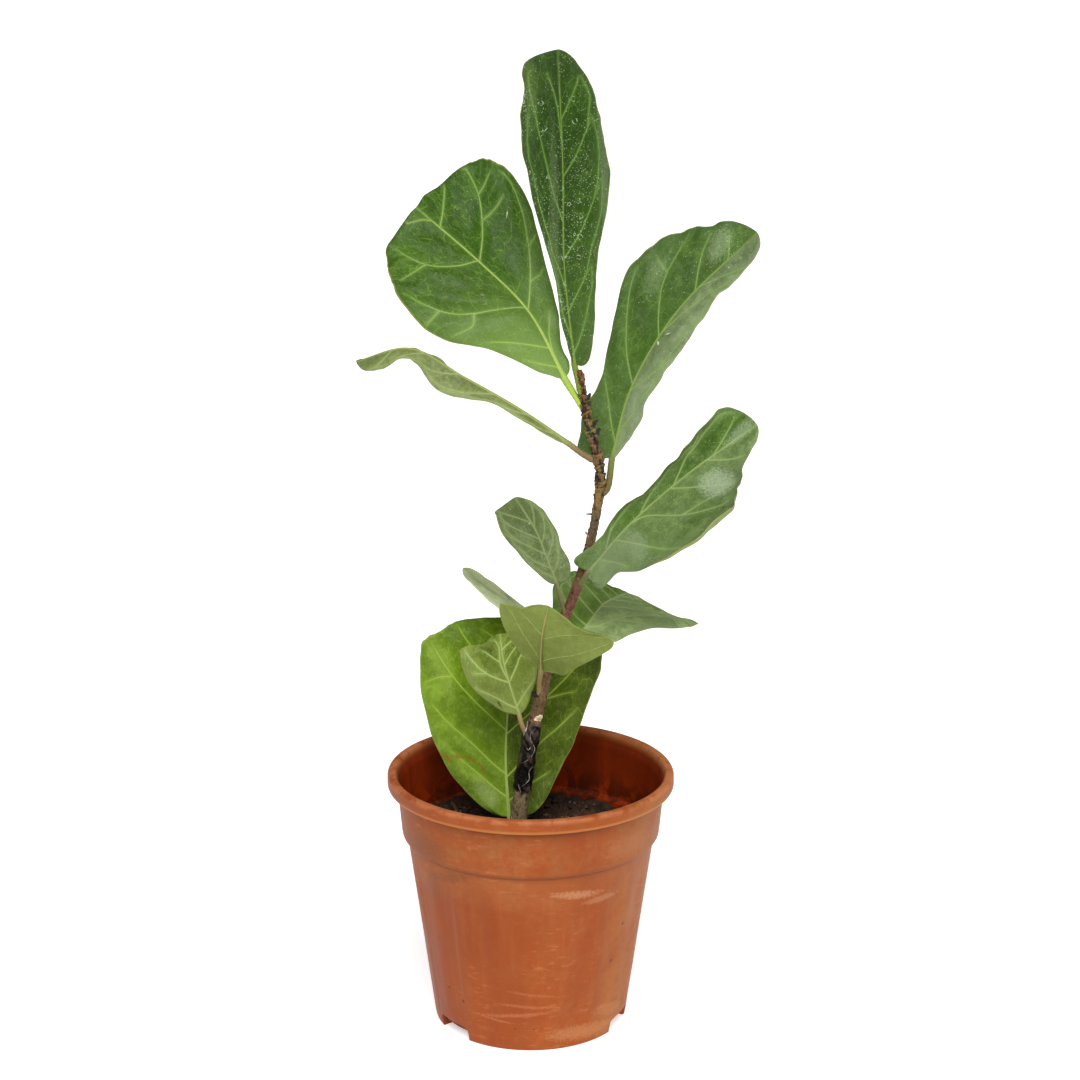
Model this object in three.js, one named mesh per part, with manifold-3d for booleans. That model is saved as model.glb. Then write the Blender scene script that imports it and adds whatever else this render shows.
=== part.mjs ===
// A young fiddle leaf fig in its nursery pot: eleven leaves on one woody stem, standing in potting soil.
// Millimetres and degrees. +Z is up, and the origin is the middle of the pot's flat foot.
// +X is to the right and -Y is to the front of the plant.

import * as THREE from 'three';
import { mergeVertices } from 'three/addons/utils/BufferGeometryUtils.js';
import Module from 'manifold-3d';

const wasm = await Module();
wasm.setup();

// ---------------------------------------------------------------- driving dimensions

const GAP = 0.3; // clearance between pieces that touch

// The pot: a thin-walled moulded pot with a collar and a rolled lip.
const POT_HEIGHT = 155;
const POT_SIDES = 48;
const WALL = 2.2;
const FOOT_RADIUS = 57.5;
const FOOT_BEVEL = 1.5;
const SHOULDER_HEIGHT = 115.5; // where the wall steps out into the collar
const SHOULDER_RADIUS = 73.5;
const SHOULDER_RISE = 3.2; // height of that step
const COLLAR_FOOT_RADIUS = 76.5;
const COLLAR_TOP_RADIUS = 79.3;
const LIP_RADIUS = 85;
const LIP_HEIGHT = 8.5;
const LIP_BEVEL = 2.6;
const MOUTH_RADIUS = 80.3;
const NECK_HEIGHT = POT_HEIGHT - LIP_HEIGHT;

// Three drain channels run under the foot from its edge, each with a drain hole in its roof.
const CHANNEL_COUNT = 3;
const CHANNEL_TURN = -142.5; // direction of the first channel, from +X
const CHANNEL_WIDTH = 26;
const CHANNEL_HEIGHT = 8.5;
const CHANNEL_BEVEL = 3; // across the two corners of its roof
const CHANNEL_INNER_END = 32; // distance of its inner end from the pot's middle
const DRAIN_RADIUS = 3.5;
const DRAIN_PLACE = 42; // distance of the hole from the pot's middle

// The soil, level at the back right and piled a little higher on the left.
const SOIL_LEVEL = 114;
const SOIL_TILT = 0.035;
const SOIL_LUMP = 0.8;
const SOIL_STEPS = 18;
const CRUMB_COUNT = 50;
const CRUMB_SIZE = [1.6, 3.4];
const CRUMB_FLATNESS = 0.6;
const CRUMB_REACH = 62; // distance from the pot's middle within which they lie
const CRUMB_SEED = 17;

// The stem's middle line from its foot in the soil to its broken tip, and its radius at each point.
const STEM = [
  { at: [-7, 2, 66], radius: 4.6 },
  { at: [-8, 1, 96], radius: 5.0 },
  { at: [-7, 0, 126], radius: 5.0 },
  { at: [-4, 0, 150], radius: 4.8 },
  { at: [0, 0, 174], radius: 4.2 },
  { at: [6, 0, 200], radius: 3.6 },
  { at: [15, 0, 236], radius: 3.3 },
  { at: [25, 0, 262], radius: 3.1 },
  { at: [33, 0, 288], radius: 2.9 },
  { at: [38, 0, 312], radius: 2.8 },
  { at: [40, 0, 332], radius: 2.9 },
  { at: [37, 0, 351], radius: 2.8 },
  { at: [32, 0, 369], radius: 2.3 },
  { at: [28, 0, 396], radius: 1.5 },
];
const STEM_SIDES = 9;
const STEM_RINGS = 46;
const KNOT_SWELL = 0.16; // how far the stem swells at a leaf's foot, as a share of its radius
const KNOT_LENGTH = 2.2;

// Dry bud scales, a stub of a lost twig and a pruning scar: a flat cone each, with its root in the stem.
// turn is the side it grows from, as seen from above, and lean is its angle out from the stem.
const STEM_SCALES = [
  { height: 389, turn: -20, lean: 30, length: 6.5, width: 1.7, thickness: 0.9 },
  { height: 383, turn: -70, lean: 24, length: 5, width: 1.8, thickness: 0.9 },
  { height: 366, turn: -10, lean: 42, length: 7, width: 2, thickness: 1 },
  { height: 361, turn: 160, lean: 35, length: 5, width: 1.6, thickness: 0.9 },
  { height: 336, turn: -60, lean: 30, length: 5.5, width: 2, thickness: 1 },
  { height: 330, turn: 200, lean: 38, length: 4.5, width: 1.8, thickness: 1 },
  { height: 311, turn: 185, lean: 75, length: 6.5, width: 1, thickness: 1 },
  { height: 300, turn: 195, lean: 28, length: 6.5, width: 1.8, thickness: 0.9 },
  { height: 205, turn: 200, lean: 62, length: 6, width: 2.2, thickness: 1.5 },
  { height: 189, turn: -35, lean: 80, length: 6.5, width: 2.6, thickness: 2.2 },
  { height: 160, turn: 10, lean: 25, length: 9, width: 2.4, thickness: 0.9 },
  { height: 146, turn: -150, lean: 22, length: 9, width: 2.6, thickness: 0.9 },
];
const SCALE_TIP = 0.35; // a scale's width at its tip, as a share of its width at its root

// Leaves. Each one has the points of its stalk from inside the stem to the blade, the points of its
// midrib from the blade's foot to its tip, and its half widths to the left and right of the midrib, at
// nine steps that crowd towards both ends. looks gives the way its upper face looks at the foot and at
// the tip. fold is the angle that each half rises from the midrib, curl is how far it turns by its
// margin, and roll is how far the margin itself rolls up at mid length, each for left and right. ears
// is how far the foot's corners reach back, and wave, waves and start are the height, number and phase
// of the margin's waves.
const LEAVES = [
  {
    name: 'leaf_top_upright',
    stalk: [[29, 0, 382], [27, 1, 390]],
    midrib: [[25, 3, 399], [19, 10, 453], [18, 15, 510], [15, 14, 574]],
    left: [1, 2, 5, 7, 19.5, 25, 21.5, 20, 0],
    right: [1, 9, 15, 20, 27, 23.5, 19, 10.5, 0],
    looks: [[0.15, -1, 0.1], [0.05, -1, 0.3]],
    fold: [24, 16], curl: [-10, 10], roll: [0, 0], ears: -0.7,
    wave: 1.2, waves: 2, start: 0, stalkRadius: 1.8, color: 0x496627,
  },
  {
    name: 'leaf_upper_left',
    stalk: [[30, 0, 373], [25, 3, 381]],
    midrib: [[19, 6, 391], [-1, 18, 426], [-29, 33, 452], [-66, 46, 482]],
    left: [1, 8, 24.5, 48.5, 49, 42, 35, 27, 0],
    right: [1, 6, 9, 22, 50, 49, 42, 31, 0],
    looks: [[0.25, -0.9, 0.45], [0.1, -0.9, 0.45]],
    fold: [10, 12], curl: [-22, -14], roll: [0, 0], ears: -0.2,
    wave: 1.5, waves: 2, start: 40, stalkRadius: 2.2, color: 0x557834,
  },
  {
    name: 'leaf_upper_right',
    stalk: [[39, 1, 322], [44.5, 2, 327]],
    midrib: [[47, 9, 343], [59, 18, 384], [86, 26, 427], [130, 34, 469]],
    left: [1, 19.5, 22, 20, 38.5, 34, 23.5, 15, 0],
    right: [1, 3.5, 10.5, 14, 17, 14.5, 13, 9, 0],
    looks: [[-0.1, -0.9, 0.4], [-0.3, -0.9, 0.35]],
    fold: [8, 20], curl: [-14, -10], roll: [0, 0], ears: -0.6,
    wave: 1.5, waves: 2.5, start: 90, stalkRadius: 1.9, color: 0x5c7440,
  },
  {
    name: 'leaf_left_spear',
    stalk: [[37, 0, 343], [30, -1, 347]],
    midrib: [[22, -1, 354], [-6, -4, 374], [-38, -5, 393], [-68, -4, 409], [-99, 0, 401]],
    left: [1, 3, 7, 5, 14, 8, 9, 7, 0],
    right: [1, 6, 11, 13, 14, 13, 11, 7, 0],
    looks: [[0.1, 0.05, 1], [0.1, -0.1, 1]],
    fold: [-50, -20], curl: [0, 0], roll: [0, 0], ears: -0.3,
    wave: 2, waves: 2.4, start: -110, stalkRadius: 1.7, color: 0x6d7c4c,
  },
  {
    name: 'leaf_right_arched',
    stalk: [[28, -1, 268], [31, -5, 274]],
    midrib: [[34, -9, 280], [57, -14, 309], [88, -20, 339], [127, -26, 370]],
    left: [1, 11, 8, 10, 8, 14, 20, 13, 0],
    right: [1, 12, 18, 43, 48, 31, 16, 8, 0],
    looks: [[-0.2, -0.75, 0.75], [-0.2, -0.8, 0.6]],
    fold: [4, -8], curl: [0, -8], roll: [150, 150], ears: -0.9,
    wave: 1.5, waves: 2.5, start: 0, stalkRadius: 1.7, color: 0x647a45,
  },
  {
    name: 'leaf_mid_left',
    stalk: [[21, 0, 247], [18, -4, 259]],
    midrib: [[15, -6, 272], [9, -4, 287], [3, 1, 301], [-9, 8, 319]],
    left: [1, 4, 8, 14.5, 18.5, 17.5, 15.5, 14, 0],
    right: [2, 8.5, 11.5, 10.5, 10.5, 10, 7.5, 3.5, 0],
    looks: [[0.1, -0.9, 0.4], [0.2, -0.9, 0.4]],
    fold: [10, 10], curl: [-10, -10], roll: [0, 0], ears: -0.3,
    wave: 0.8, waves: 2, start: 0, stalkRadius: 1.3, color: 0x68794c,
  },
  {
    name: 'leaf_lower_right',
    stalk: [[16, 0, 229], [24, 2, 235]],
    midrib: [[31, 6, 239], [42, 32, 246], [52, 58, 244], [60, 80, 240]],
    left: [1, 14, 26, 36, 37, 34, 31, 18, 0],
    right: [1, 16, 25, 40.5, 47, 47, 38, 20, 0],
    looks: [[0.1, -0.3, 1], [0.15, -0.3, 1]],
    fold: [8, -2], curl: [-14, -7], roll: [0, 0], ears: -0.5,
    wave: 1.5, waves: 2, start: 0, stalkRadius: 1.8, color: 0x647650,
  },
  {
    name: 'leaf_left_strip',
    stalk: [[12, 0, 222], [11, 1, 230]],
    midrib: [[8, 2, 236], [-7, 12, 249], [-23, 22, 259], [-40, 30, 270]],
    left: [1, 5, 8.5, 12.5, 15, 15.5, 11, 5, 0],
    right: [1, 5, 8, 8, 7, 8.5, 9.5, 7, 0],
    looks: [[0.3, -0.2, 1], [0.2, 0.05, 1]],
    fold: [8, 8], curl: [-10, -10], roll: [0, 0], ears: -0.1,
    wave: 0.8, waves: 2, start: 0, stalkRadius: 1.3, color: 0x62734a,
  },
  {
    name: 'leaf_front',
    stalk: [[5, 0, 199], [5, -5, 210]],
    midrib: [[6, -12, 221], [6, -26, 237], [7, -42, 254], [10, -54, 272]],
    left: [1, 5, 18, 26, 43, 42, 28, 20, 0],
    right: [1, 3, 8, 17.5, 26, 24.5, 16, 10, 0],
    looks: [[0, 0.6, 0.9], [0, 0.75, 0.8]],
    fold: [-34, 12], curl: [-8, -6], roll: [0, 0], ears: -0.3,
    wave: 1.5, waves: 2, start: 0, stalkRadius: 1.6, color: 0x808c4e,
  },
  {
    name: 'leaf_front_small',
    stalk: [[-1, 0, 174], [-5, -2, 183]],
    midrib: [[-7, -2, 191], [-12, -4, 208], [-16, -4, 224], [-18, -1, 239]],
    left: [1, 5, 13, 23, 24, 17, 9, 5, 0],
    right: [1, 5, 12, 19.5, 21, 18, 14.5, 10, 0],
    looks: [[0.1, -0.9, 0.3], [0.1, -0.8, 0.5]],
    fold: [6, 10], curl: [-20, -20], roll: [0, 0], ears: -0.3,
    wave: 1, waves: 3, start: 0, stalkRadius: 1.4, color: 0x6b8a35,
  },
  {
    name: 'leaf_basal',
    stalk: [[-7, 0, 119], [-11, 4, 119]],
    midrib: [[-13, 9, 122], [-15, 20, 155], [-13, 33, 193], [-10, 44, 235]],
    left: [1, 11, 28, 50, 54.5, 43.5, 37, 27, 0],
    right: [1.5, 17, 30, 44, 55, 46, 35, 24, 0],
    looks: [[0, -1, 0.25], [0, -1, 0.5]],
    fold: [10, 10], curl: [-20, -10], roll: [0, 0], ears: -0.25,
    wave: 1.5, waves: 2, start: 0, stalkRadius: 1.7, color: 0x688317,
  },
];
const BLADE_ROWS = 12;
const BLADE_COLUMNS = 8;
const BLADE_THICKNESS = 1.0;
const STALK_SIDES = 6;
const RIB_STEPS = 7;
const RIB_REACH = 0.9; // share of the blade's length that the rib under it runs
const RIB_TIP_RADIUS = 0.6;
const RIB_SINK = 0.45; // how far the rib's middle line lies below the blade, as a share of its radius
const VEIN_SWEEP = 0.75; // how far the lateral veins lean forward at mid length
const SIDE_SHIFT = 1.2; // phase, in radians, between the waves of the two margins

// ---------------------------------------------------------------- small helpers

const radians = THREE.MathUtils.degToRad;
const smooth = (x) => x * x * (3 - 2 * x);
const clamp01 = (x) => THREE.MathUtils.clamp(x, 0, 1);
const vector = (point) => new THREE.Vector3(...point);

// A repeatable draw of numbers from 0 to 1.
function seededDraw(seed) {
  let state = seed;
  return () => {
    state = (state * 1664525 + 1013904223) % 4294967296;
    return state / 4294967296;
  };
}

// A closed three.js geometry as a solid that can be cut and joined.
function solid(geometry) {
  const bare = geometry.clone();
  bare.deleteAttribute('normal');
  bare.deleteAttribute('uv');
  const merged = mergeVertices(bare, 1e-4);
  return new wasm.Manifold(new wasm.Mesh({
    numProp: 3,
    vertProperties: new Float32Array(merged.attributes.position.array),
    triVerts: new Uint32Array(merged.index.array),
  }));
}

// The solid's largest piece, which drops any scrap that a cut leaves loose.
function largestPiece(body) {
  const pieces = body.decompose();
  return pieces.sort((a, b) => b.volume() - a.volume())[0];
}

function mesh(name, body, color, roughness) {
  const { vertProperties, triVerts } = body.getMesh();
  const geometry = new THREE.BufferGeometry();
  geometry.setAttribute('position', new THREE.BufferAttribute(new Float32Array(vertProperties), 3));
  geometry.setIndex(new THREE.BufferAttribute(new Uint32Array(triVerts), 1));
  geometry.computeVertexNormals();
  const material = new THREE.MeshStandardMaterial({ color, roughness, metalness: 0 });
  const node = new THREE.Mesh(geometry, material);
  node.name = name;
  return node;
}

function indexedGeometry(points, triangles) {
  const geometry = new THREE.BufferGeometry();
  geometry.setAttribute('position', new THREE.Float32BufferAttribute(points.flatMap((p) => p.toArray()), 3));
  geometry.setIndex(triangles);
  return geometry;
}

// A smooth curve through evenly timed points, which runs on straight past both ends.
function curveThrough(points) {
  const curve = new THREE.CatmullRomCurve3(points.map(vector), false, 'catmullrom', 0.5);
  return (t) => {
    const inside = clamp01(t);
    const place = curve.getPoint(inside);
    if (inside === t) return place;
    const last = points.length - 1;
    const [from, to] = inside === 0 ? [points[0], points[1]] : [points[last - 1], points[last]];
    const heading = vector(to).sub(vector(from)).multiplyScalar(last);
    return place.addScaledVector(heading, t - inside);
  };
}

// A smooth row of numbers at even steps, as a function of the share of its length.
function valuesThrough(values) {
  const curve = curveThrough(values.map((value) => [value, 0, 0]));
  return (t) => Math.max(curve(t).x, 0);
}

// A closed tube along a list of points, with a radius at each, and a point at both ends' middles.
function tube(points, radii, sides) {
  const rings = points.length;
  const heading = (i) => points[Math.min(i + 1, rings - 1)].clone()
    .sub(points[Math.max(i - 1, 0)]).normalize();
  const side = new THREE.Vector3(0, 1, 0);
  if (Math.abs(heading(0).y) > 0.9) side.set(1, 0, 0);
  const corners = [];
  for (let i = 0; i < rings; i++) {
    const along = heading(i);
    side.addScaledVector(along, -side.dot(along)).normalize();
    const across = along.clone().cross(side);
    for (let k = 0; k < sides; k++) {
      const turn = (k / sides) * 2 * Math.PI;
      corners.push(points[i].clone()
        .addScaledVector(side, radii[i] * Math.cos(turn))
        .addScaledVector(across, radii[i] * Math.sin(turn)));
    }
  }
  const triangles = [];
  for (let i = 0; i + 1 < rings; i++) {
    for (let k = 0; k < sides; k++) {
      const a = i * sides + k;
      const b = i * sides + ((k + 1) % sides);
      triangles.push(a, b, a + sides, b, b + sides, a + sides);
    }
  }
  const foot = corners.push(points[0]) - 1;
  const top = corners.push(points[rings - 1]) - 1;
  for (let k = 0; k < sides; k++) {
    const next = (k + 1) % sides;
    triangles.push(foot, next, k);
    triangles.push(top, (rings - 1) * sides + k, (rings - 1) * sides + next);
  }
  return solid(indexedGeometry(corners, triangles));
}

// A solid turned about Z from a closed outline of [radius, height] corners, with its axis at the origin.
function turned(outline) {
  const profile = outline.map(([radius, height]) => new THREE.Vector2(radius, height));
  return solid(new THREE.LatheGeometry(profile, POT_SIDES).rotateX(Math.PI / 2));
}

// ---------------------------------------------------------------- pot

const channelTurns = Array.from({ length: CHANNEL_COUNT },
  (_, i) => radians(CHANNEL_TURN + (i * 360) / CHANNEL_COUNT));

// One drain channel as a bar with an arched roof, grown on all sides by the given amount.
function channelBar(turn, grown) {
  const half = CHANNEL_WIDTH / 2 + grown;
  const height = CHANNEL_HEIGHT + grown;
  const shoulder = height - CHANNEL_BEVEL;
  const outline = new THREE.Shape([
    new THREE.Vector2(-half, -height),
    new THREE.Vector2(half, -height),
    new THREE.Vector2(half, shoulder),
    new THREE.Vector2(half - CHANNEL_BEVEL, height),
    new THREE.Vector2(CHANNEL_BEVEL - half, height),
    new THREE.Vector2(-half, shoulder),
  ]);
  const start = CHANNEL_INNER_END - grown;
  const bar = new THREE.ExtrudeGeometry(outline, { depth: LIP_RADIUS - start, bevelEnabled: false });
  bar.rotateX(Math.PI / 2).translate(0, -start, 0).rotateZ(turn + Math.PI / 2);
  return solid(bar);
}

function drainHole(turn) {
  const hole = new THREE.CylinderGeometry(DRAIN_RADIUS, DRAIN_RADIUS, 2 * CHANNEL_HEIGHT, 12);
  hole.rotateX(Math.PI / 2);
  hole.translate(DRAIN_PLACE * Math.cos(turn), DRAIN_PLACE * Math.sin(turn), CHANNEL_HEIGHT);
  return solid(hole);
}

// The inside of the pot up to the given height, shrunk by the given gap.
function potInside(gap, height) {
  const inset = WALL + gap;
  const slope = (SHOULDER_RADIUS - FOOT_RADIUS) / SHOULDER_HEIGHT;
  const wallAt = (z) => FOOT_RADIUS + slope * z - inset;
  const collarSlope = (COLLAR_TOP_RADIUS - COLLAR_FOOT_RADIUS) / (NECK_HEIGHT - SHOULDER_HEIGHT);
  const collarAt = (z) => COLLAR_FOOT_RADIUS + collarSlope * (z - SHOULDER_HEIGHT) - inset;
  const corner = 2 * FOOT_BEVEL;
  const outline = [
    [0, inset], [wallAt(inset) - corner, inset], [wallAt(inset), inset + corner],
    [wallAt(SHOULDER_HEIGHT - 1), SHOULDER_HEIGHT - 1], [collarAt(SHOULDER_HEIGHT), SHOULDER_HEIGHT + 1],
  ];
  if (height <= NECK_HEIGHT) return turned([...outline, [collarAt(height), height], [0, height]]);
  return turned([
    ...outline, [collarAt(NECK_HEIGHT), NECK_HEIGHT],
    [MOUTH_RADIUS - LIP_BEVEL / 2, POT_HEIGHT - LIP_BEVEL], [MOUTH_RADIUS, POT_HEIGHT],
    [MOUTH_RADIUS, height], [0, height],
  ]);
}

// The pot's outside, filled up to its rim.
function potOutside() {
  return turned([
    [0, 0], [FOOT_RADIUS - FOOT_BEVEL, 0], [FOOT_RADIUS, FOOT_BEVEL],
    [SHOULDER_RADIUS, SHOULDER_HEIGHT],
    [COLLAR_FOOT_RADIUS - SHOULDER_RISE / 4, SHOULDER_HEIGHT + SHOULDER_RISE / 2],
    [COLLAR_FOOT_RADIUS, SHOULDER_HEIGHT + SHOULDER_RISE],
    [COLLAR_TOP_RADIUS, NECK_HEIGHT], [LIP_RADIUS - LIP_BEVEL / 2, NECK_HEIGHT],
    [LIP_RADIUS, NECK_HEIGHT + LIP_BEVEL], [LIP_RADIUS, POT_HEIGHT - LIP_BEVEL],
    [LIP_RADIUS - LIP_BEVEL / 3, POT_HEIGHT - LIP_BEVEL / 3], [LIP_RADIUS - LIP_BEVEL, POT_HEIGHT],
    [0, POT_HEIGHT],
  ]);
}

function pot() {
  let shell = potOutside();
  let inside = potInside(0, POT_HEIGHT + LIP_HEIGHT);
  for (const turn of channelTurns) {
    shell = shell.subtract(channelBar(turn, 0));
    inside = inside.subtract(channelBar(turn, WALL));
  }
  shell = shell.subtract(inside);
  for (const turn of channelTurns) shell = shell.subtract(drainHole(turn));
  return mesh('pot', largestPiece(shell), 0xae5b37, 0.55);
}

// ---------------------------------------------------------------- stem

const stemLine = curveThrough(STEM.map((point) => point.at));
const stemRadius = valuesThrough(STEM.map((point) => point.radius));
const knotHeights = LEAVES.map((leaf) => leaf.stalk[0][2]);

// The stem as a tube that swells at each leaf's foot, grown all over by the given amount.
function stemTube(grown) {
  const points = [];
  const radii = [];
  for (let i = 0; i <= STEM_RINGS; i++) {
    const t = i / STEM_RINGS;
    const place = stemLine(t);
    const swell = knotHeights.reduce(
      (sum, height) => sum + Math.exp(-(((place.z - height) / KNOT_LENGTH) ** 2)), 0);
    points.push(place);
    radii.push(stemRadius(t) * (1 + KNOT_SWELL * Math.min(swell, 1)) + grown);
  }
  if (grown > 0) {
    points[0].z -= grown;
    points[STEM_RINGS].z += grown;
  }
  return tube(points, radii, STEM_SIDES);
}

// One scale: a flattened cone from the stem's middle line, grown all over by the given amount.
function stemScale({ height, turn, lean, length, width, thickness }, grown) {
  const t = stemShareAt(height);
  const root = stemLine(t);
  const reach = length + stemRadius(t) + grown;
  const scale = new THREE.CylinderGeometry(SCALE_TIP, 1, reach, 6);
  scale.translate(0, reach / 2, 0);
  scale.scale(thickness + 2 * grown, 1, width + 2 * grown);
  scale.rotateX(Math.PI / 2);
  scale.rotateY(radians(lean));
  scale.rotateZ(radians(turn));
  scale.translate(root.x, root.y, root.z);
  return solid(scale);
}

// The share of the stem's length at which it passes a height, found by halving.
function stemShareAt(height) {
  let low = 0;
  let high = 1;
  for (let i = 0; i < 24; i++) {
    const middle = (low + high) / 2;
    if (stemLine(middle).z < height) low = middle;
    else high = middle;
  }
  return low;
}

// The whole stem, grown all over by the given amount.
function stem(grown) {
  return STEM_SCALES.reduce((body, scale) => body.add(stemScale(scale, grown)), stemTube(grown));
}

// ---------------------------------------------------------------- leaves

// A leaf's surface as a function of u, from foot to tip, and q, from -1 at the left margin to 1 at the
// right one. A point lies on the lateral vein that leaves the midrib at u, so the rows sweep forward.
function leafSurface(leaf) {
  const midrib = curveThrough(leaf.midrib);
  const leftWidth = valuesThrough(leaf.left);
  const rightWidth = valuesThrough(leaf.right);
  const [looksAtFoot, looksAtTip] = leaf.looks.map(vector);
  let length = 0;
  for (let i = 0; i < 60; i++) length += midrib(i / 60).distanceTo(midrib((i + 1) / 60));

  return (u, q) => {
    const away = Math.abs(q);
    const side = q > 0 ? 1 : 0;
    const width = (side ? rightWidth : leftWidth)(u);
    const share = (1 - Math.cos(Math.PI * u)) / 2;
    const sweep = leaf.ears * (1 - share) ** 4 + VEIN_SWEEP * Math.sin(Math.PI * share);
    const t = share + (width * away * sweep) / length;
    const along = midrib(t + 1e-3).sub(midrib(t - 1e-3)).normalize();
    const up = looksAtFoot.clone().lerp(looksAtTip, smooth(clamp01(t)));
    up.addScaledVector(along, -up.dot(along)).normalize();
    const across = along.clone().cross(up);

    const curl = radians(leaf.curl[side]) * away;
    const roll = radians(leaf.roll[side]) * 4 * share * (1 - share) * away ** 3;
    const rise = radians(leaf.fold[side]) + curl / 2 + roll / 4;
    const wave = leaf.wave * away ** 1.5 * Math.min(1, width / 12) * Math.sqrt(Math.sin(Math.PI * u))
      * Math.sin(2 * Math.PI * leaf.waves * u + radians(leaf.start) + side * SIDE_SHIFT);
    return {
      place: midrib(t)
        .addScaledVector(across, (side ? 1 : -1) * width * away * Math.cos(rise))
        .addScaledVector(up, width * away * Math.sin(rise) + wave),
      up,
    };
  };
}

// The triangles of a blade's grid, whose last point is the tip.
function bladeFaces() {
  const perRow = BLADE_COLUMNS + 1;
  const tip = BLADE_ROWS * perRow;
  const faces = [];
  for (let i = 0; i < BLADE_ROWS; i++) {
    for (let j = 0; j < BLADE_COLUMNS; j++) {
      const a = i * perRow + j;
      const [b, c, d] = [a + 1, a + 1 + perRow, a + perRow];
      if (i === BLADE_ROWS - 1) faces.push([a, b, tip]);
      else if (j < BLADE_COLUMNS / 2) faces.push([a, b, d], [b, c, d]);
      else faces.push([a, b, c], [a, c, d]);
    }
  }
  return faces;
}

// The points round the edge of a blade's grid, in order.
function bladeMargin() {
  const perRow = BLADE_COLUMNS + 1;
  const rows = Array.from({ length: BLADE_ROWS - 1 }, (_, i) => i + 1);
  return [
    ...Array.from({ length: perRow }, (_, j) => j),
    ...rows.map((i) => i * perRow + BLADE_COLUMNS),
    BLADE_ROWS * perRow,
    ...rows.reverse().map((i) => i * perRow),
  ];
}

// The blade: the surface thickened by half a thickness on both sides, with the same triangles above and
// below and a strip round its edge.
function blade(surface) {
  const grid = [];
  for (let i = 0; i < BLADE_ROWS; i++) {
    for (let j = 0; j <= BLADE_COLUMNS; j++) {
      grid.push(surface(i / BLADE_ROWS, (2 * j) / BLADE_COLUMNS - 1).place);
    }
  }
  grid.push(surface(1, 0).place);
  const faces = bladeFaces();
  const normals = grid.map(() => new THREE.Vector3());
  for (const [a, b, c] of faces) {
    const normal = grid[b].clone().sub(grid[a]).cross(grid[c].clone().sub(grid[a]));
    for (const corner of [a, b, c]) normals[corner].add(normal);
  }
  normals.forEach((normal) => normal.normalize());
  const shifted = (offset) => grid.map((point, i) => point.clone().addScaledVector(normals[i], offset));
  const points = [...shifted(BLADE_THICKNESS / 2), ...shifted(-BLADE_THICKNESS / 2)];
  const below = grid.length;
  const triangles = faces.flatMap(([a, b, c]) => [a, b, c, a + below, c + below, b + below]);
  const margin = bladeMargin();
  margin.forEach((a, i) => {
    const b = margin[(i + 1) % margin.length];
    triangles.push(a, a + below, b, b, a + below, b + below);
  });
  return solid(indexedGeometry(points, triangles));
}

// The stalk and, under the blade, the rib it runs on as, thinning towards the tip.
function stalkAndRib(leaf, surface) {
  const points = leaf.stalk.map(vector);
  const radii = leaf.stalk.map(() => leaf.stalkRadius);
  for (let i = 0; i <= RIB_STEPS; i++) {
    const share = (i / RIB_STEPS) * RIB_REACH;
    const { place, up } = surface(Math.acos(1 - 2 * share) / Math.PI, 0);
    const radius = THREE.MathUtils.lerp(leaf.stalkRadius, RIB_TIP_RADIUS, i / RIB_STEPS);
    points.push(place.addScaledVector(up, -RIB_SINK * radius));
    radii.push(radius);
  }
  return tube(points, radii, STALK_SIDES);
}

function leafMesh(leaf, stemRoom) {
  const surface = leafSurface(leaf);
  const body = blade(surface).add(stalkAndRib(leaf, surface)).subtract(stemRoom);
  return mesh(leaf.name, largestPiece(body), leaf.color, 0.5);
}

// ---------------------------------------------------------------- soil

// The height of the soil's lumpy top.
function soilTop(x, y) {
  const lumps = Math.sin(x * 0.21 + 1.3) * Math.cos(y * 0.17 - 0.4) + 0.6 * Math.sin(x * 0.47 - y * 0.39)
    + 0.4 * Math.cos(x * 0.83 + y * 0.71);
  return SOIL_LEVEL - SOIL_TILT * x + SOIL_LUMP * lumps;
}

// A cover whose underside is the soil's top, for cutting the pot's filling down to it.
function aboveSoil() {
  const cover = new THREE.BoxGeometry(2 * LIP_RADIUS, 2 * LIP_RADIUS, POT_HEIGHT, SOIL_STEPS, SOIL_STEPS, 1);
  const corners = cover.attributes.position;
  for (let i = 0; i < corners.count; i++) {
    const floor = soilTop(corners.getX(i), corners.getY(i));
    corners.setZ(i, corners.getZ(i) < 0 ? floor : 2 * POT_HEIGHT);
  }
  return solid(cover);
}

// One crumb of bark or peat, half sunk in the soil's top.
function crumb(draw) {
  const reach = CRUMB_REACH * Math.sqrt(draw());
  const turn = draw() * 2 * Math.PI;
  const x = reach * Math.cos(turn);
  const y = reach * Math.sin(turn);
  const size = THREE.MathUtils.lerp(...CRUMB_SIZE, draw() ** 2);
  const lump = new THREE.OctahedronGeometry(size, 0);
  lump.scale(1, THREE.MathUtils.lerp(0.55, 0.95, draw()), CRUMB_FLATNESS);
  lump.rotateX(draw() - 0.5);
  lump.rotateZ(draw() * Math.PI);
  lump.translate(x, y, soilTop(x, y));
  return solid(lump);
}

function soil(stemRoom) {
  let body = potInside(GAP, NECK_HEIGHT).subtract(aboveSoil());
  for (const turn of channelTurns) body = body.subtract(channelBar(turn, WALL + GAP));
  const draw = seededDraw(CRUMB_SEED);
  for (let i = 0; i < CRUMB_COUNT; i++) body = body.add(crumb(draw));
  return mesh('soil', largestPiece(body.subtract(stemRoom)), 0x2e1a0d, 0.95);
}

// ---------------------------------------------------------------- the plant in its pot

const stemRoom = stem(GAP);
const plant = new THREE.Group();
plant.add(pot(), soil(stemRoom), mesh('stem', stem(0), 0x6b4a36, 0.85));
for (const leaf of LEAVES) plant.add(leafMesh(leaf, stemRoom));

export default plant;
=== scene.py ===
"""A young fiddle leaf fig in its nursery pot: the fine surface and finish of every piece."""

import math

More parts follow.
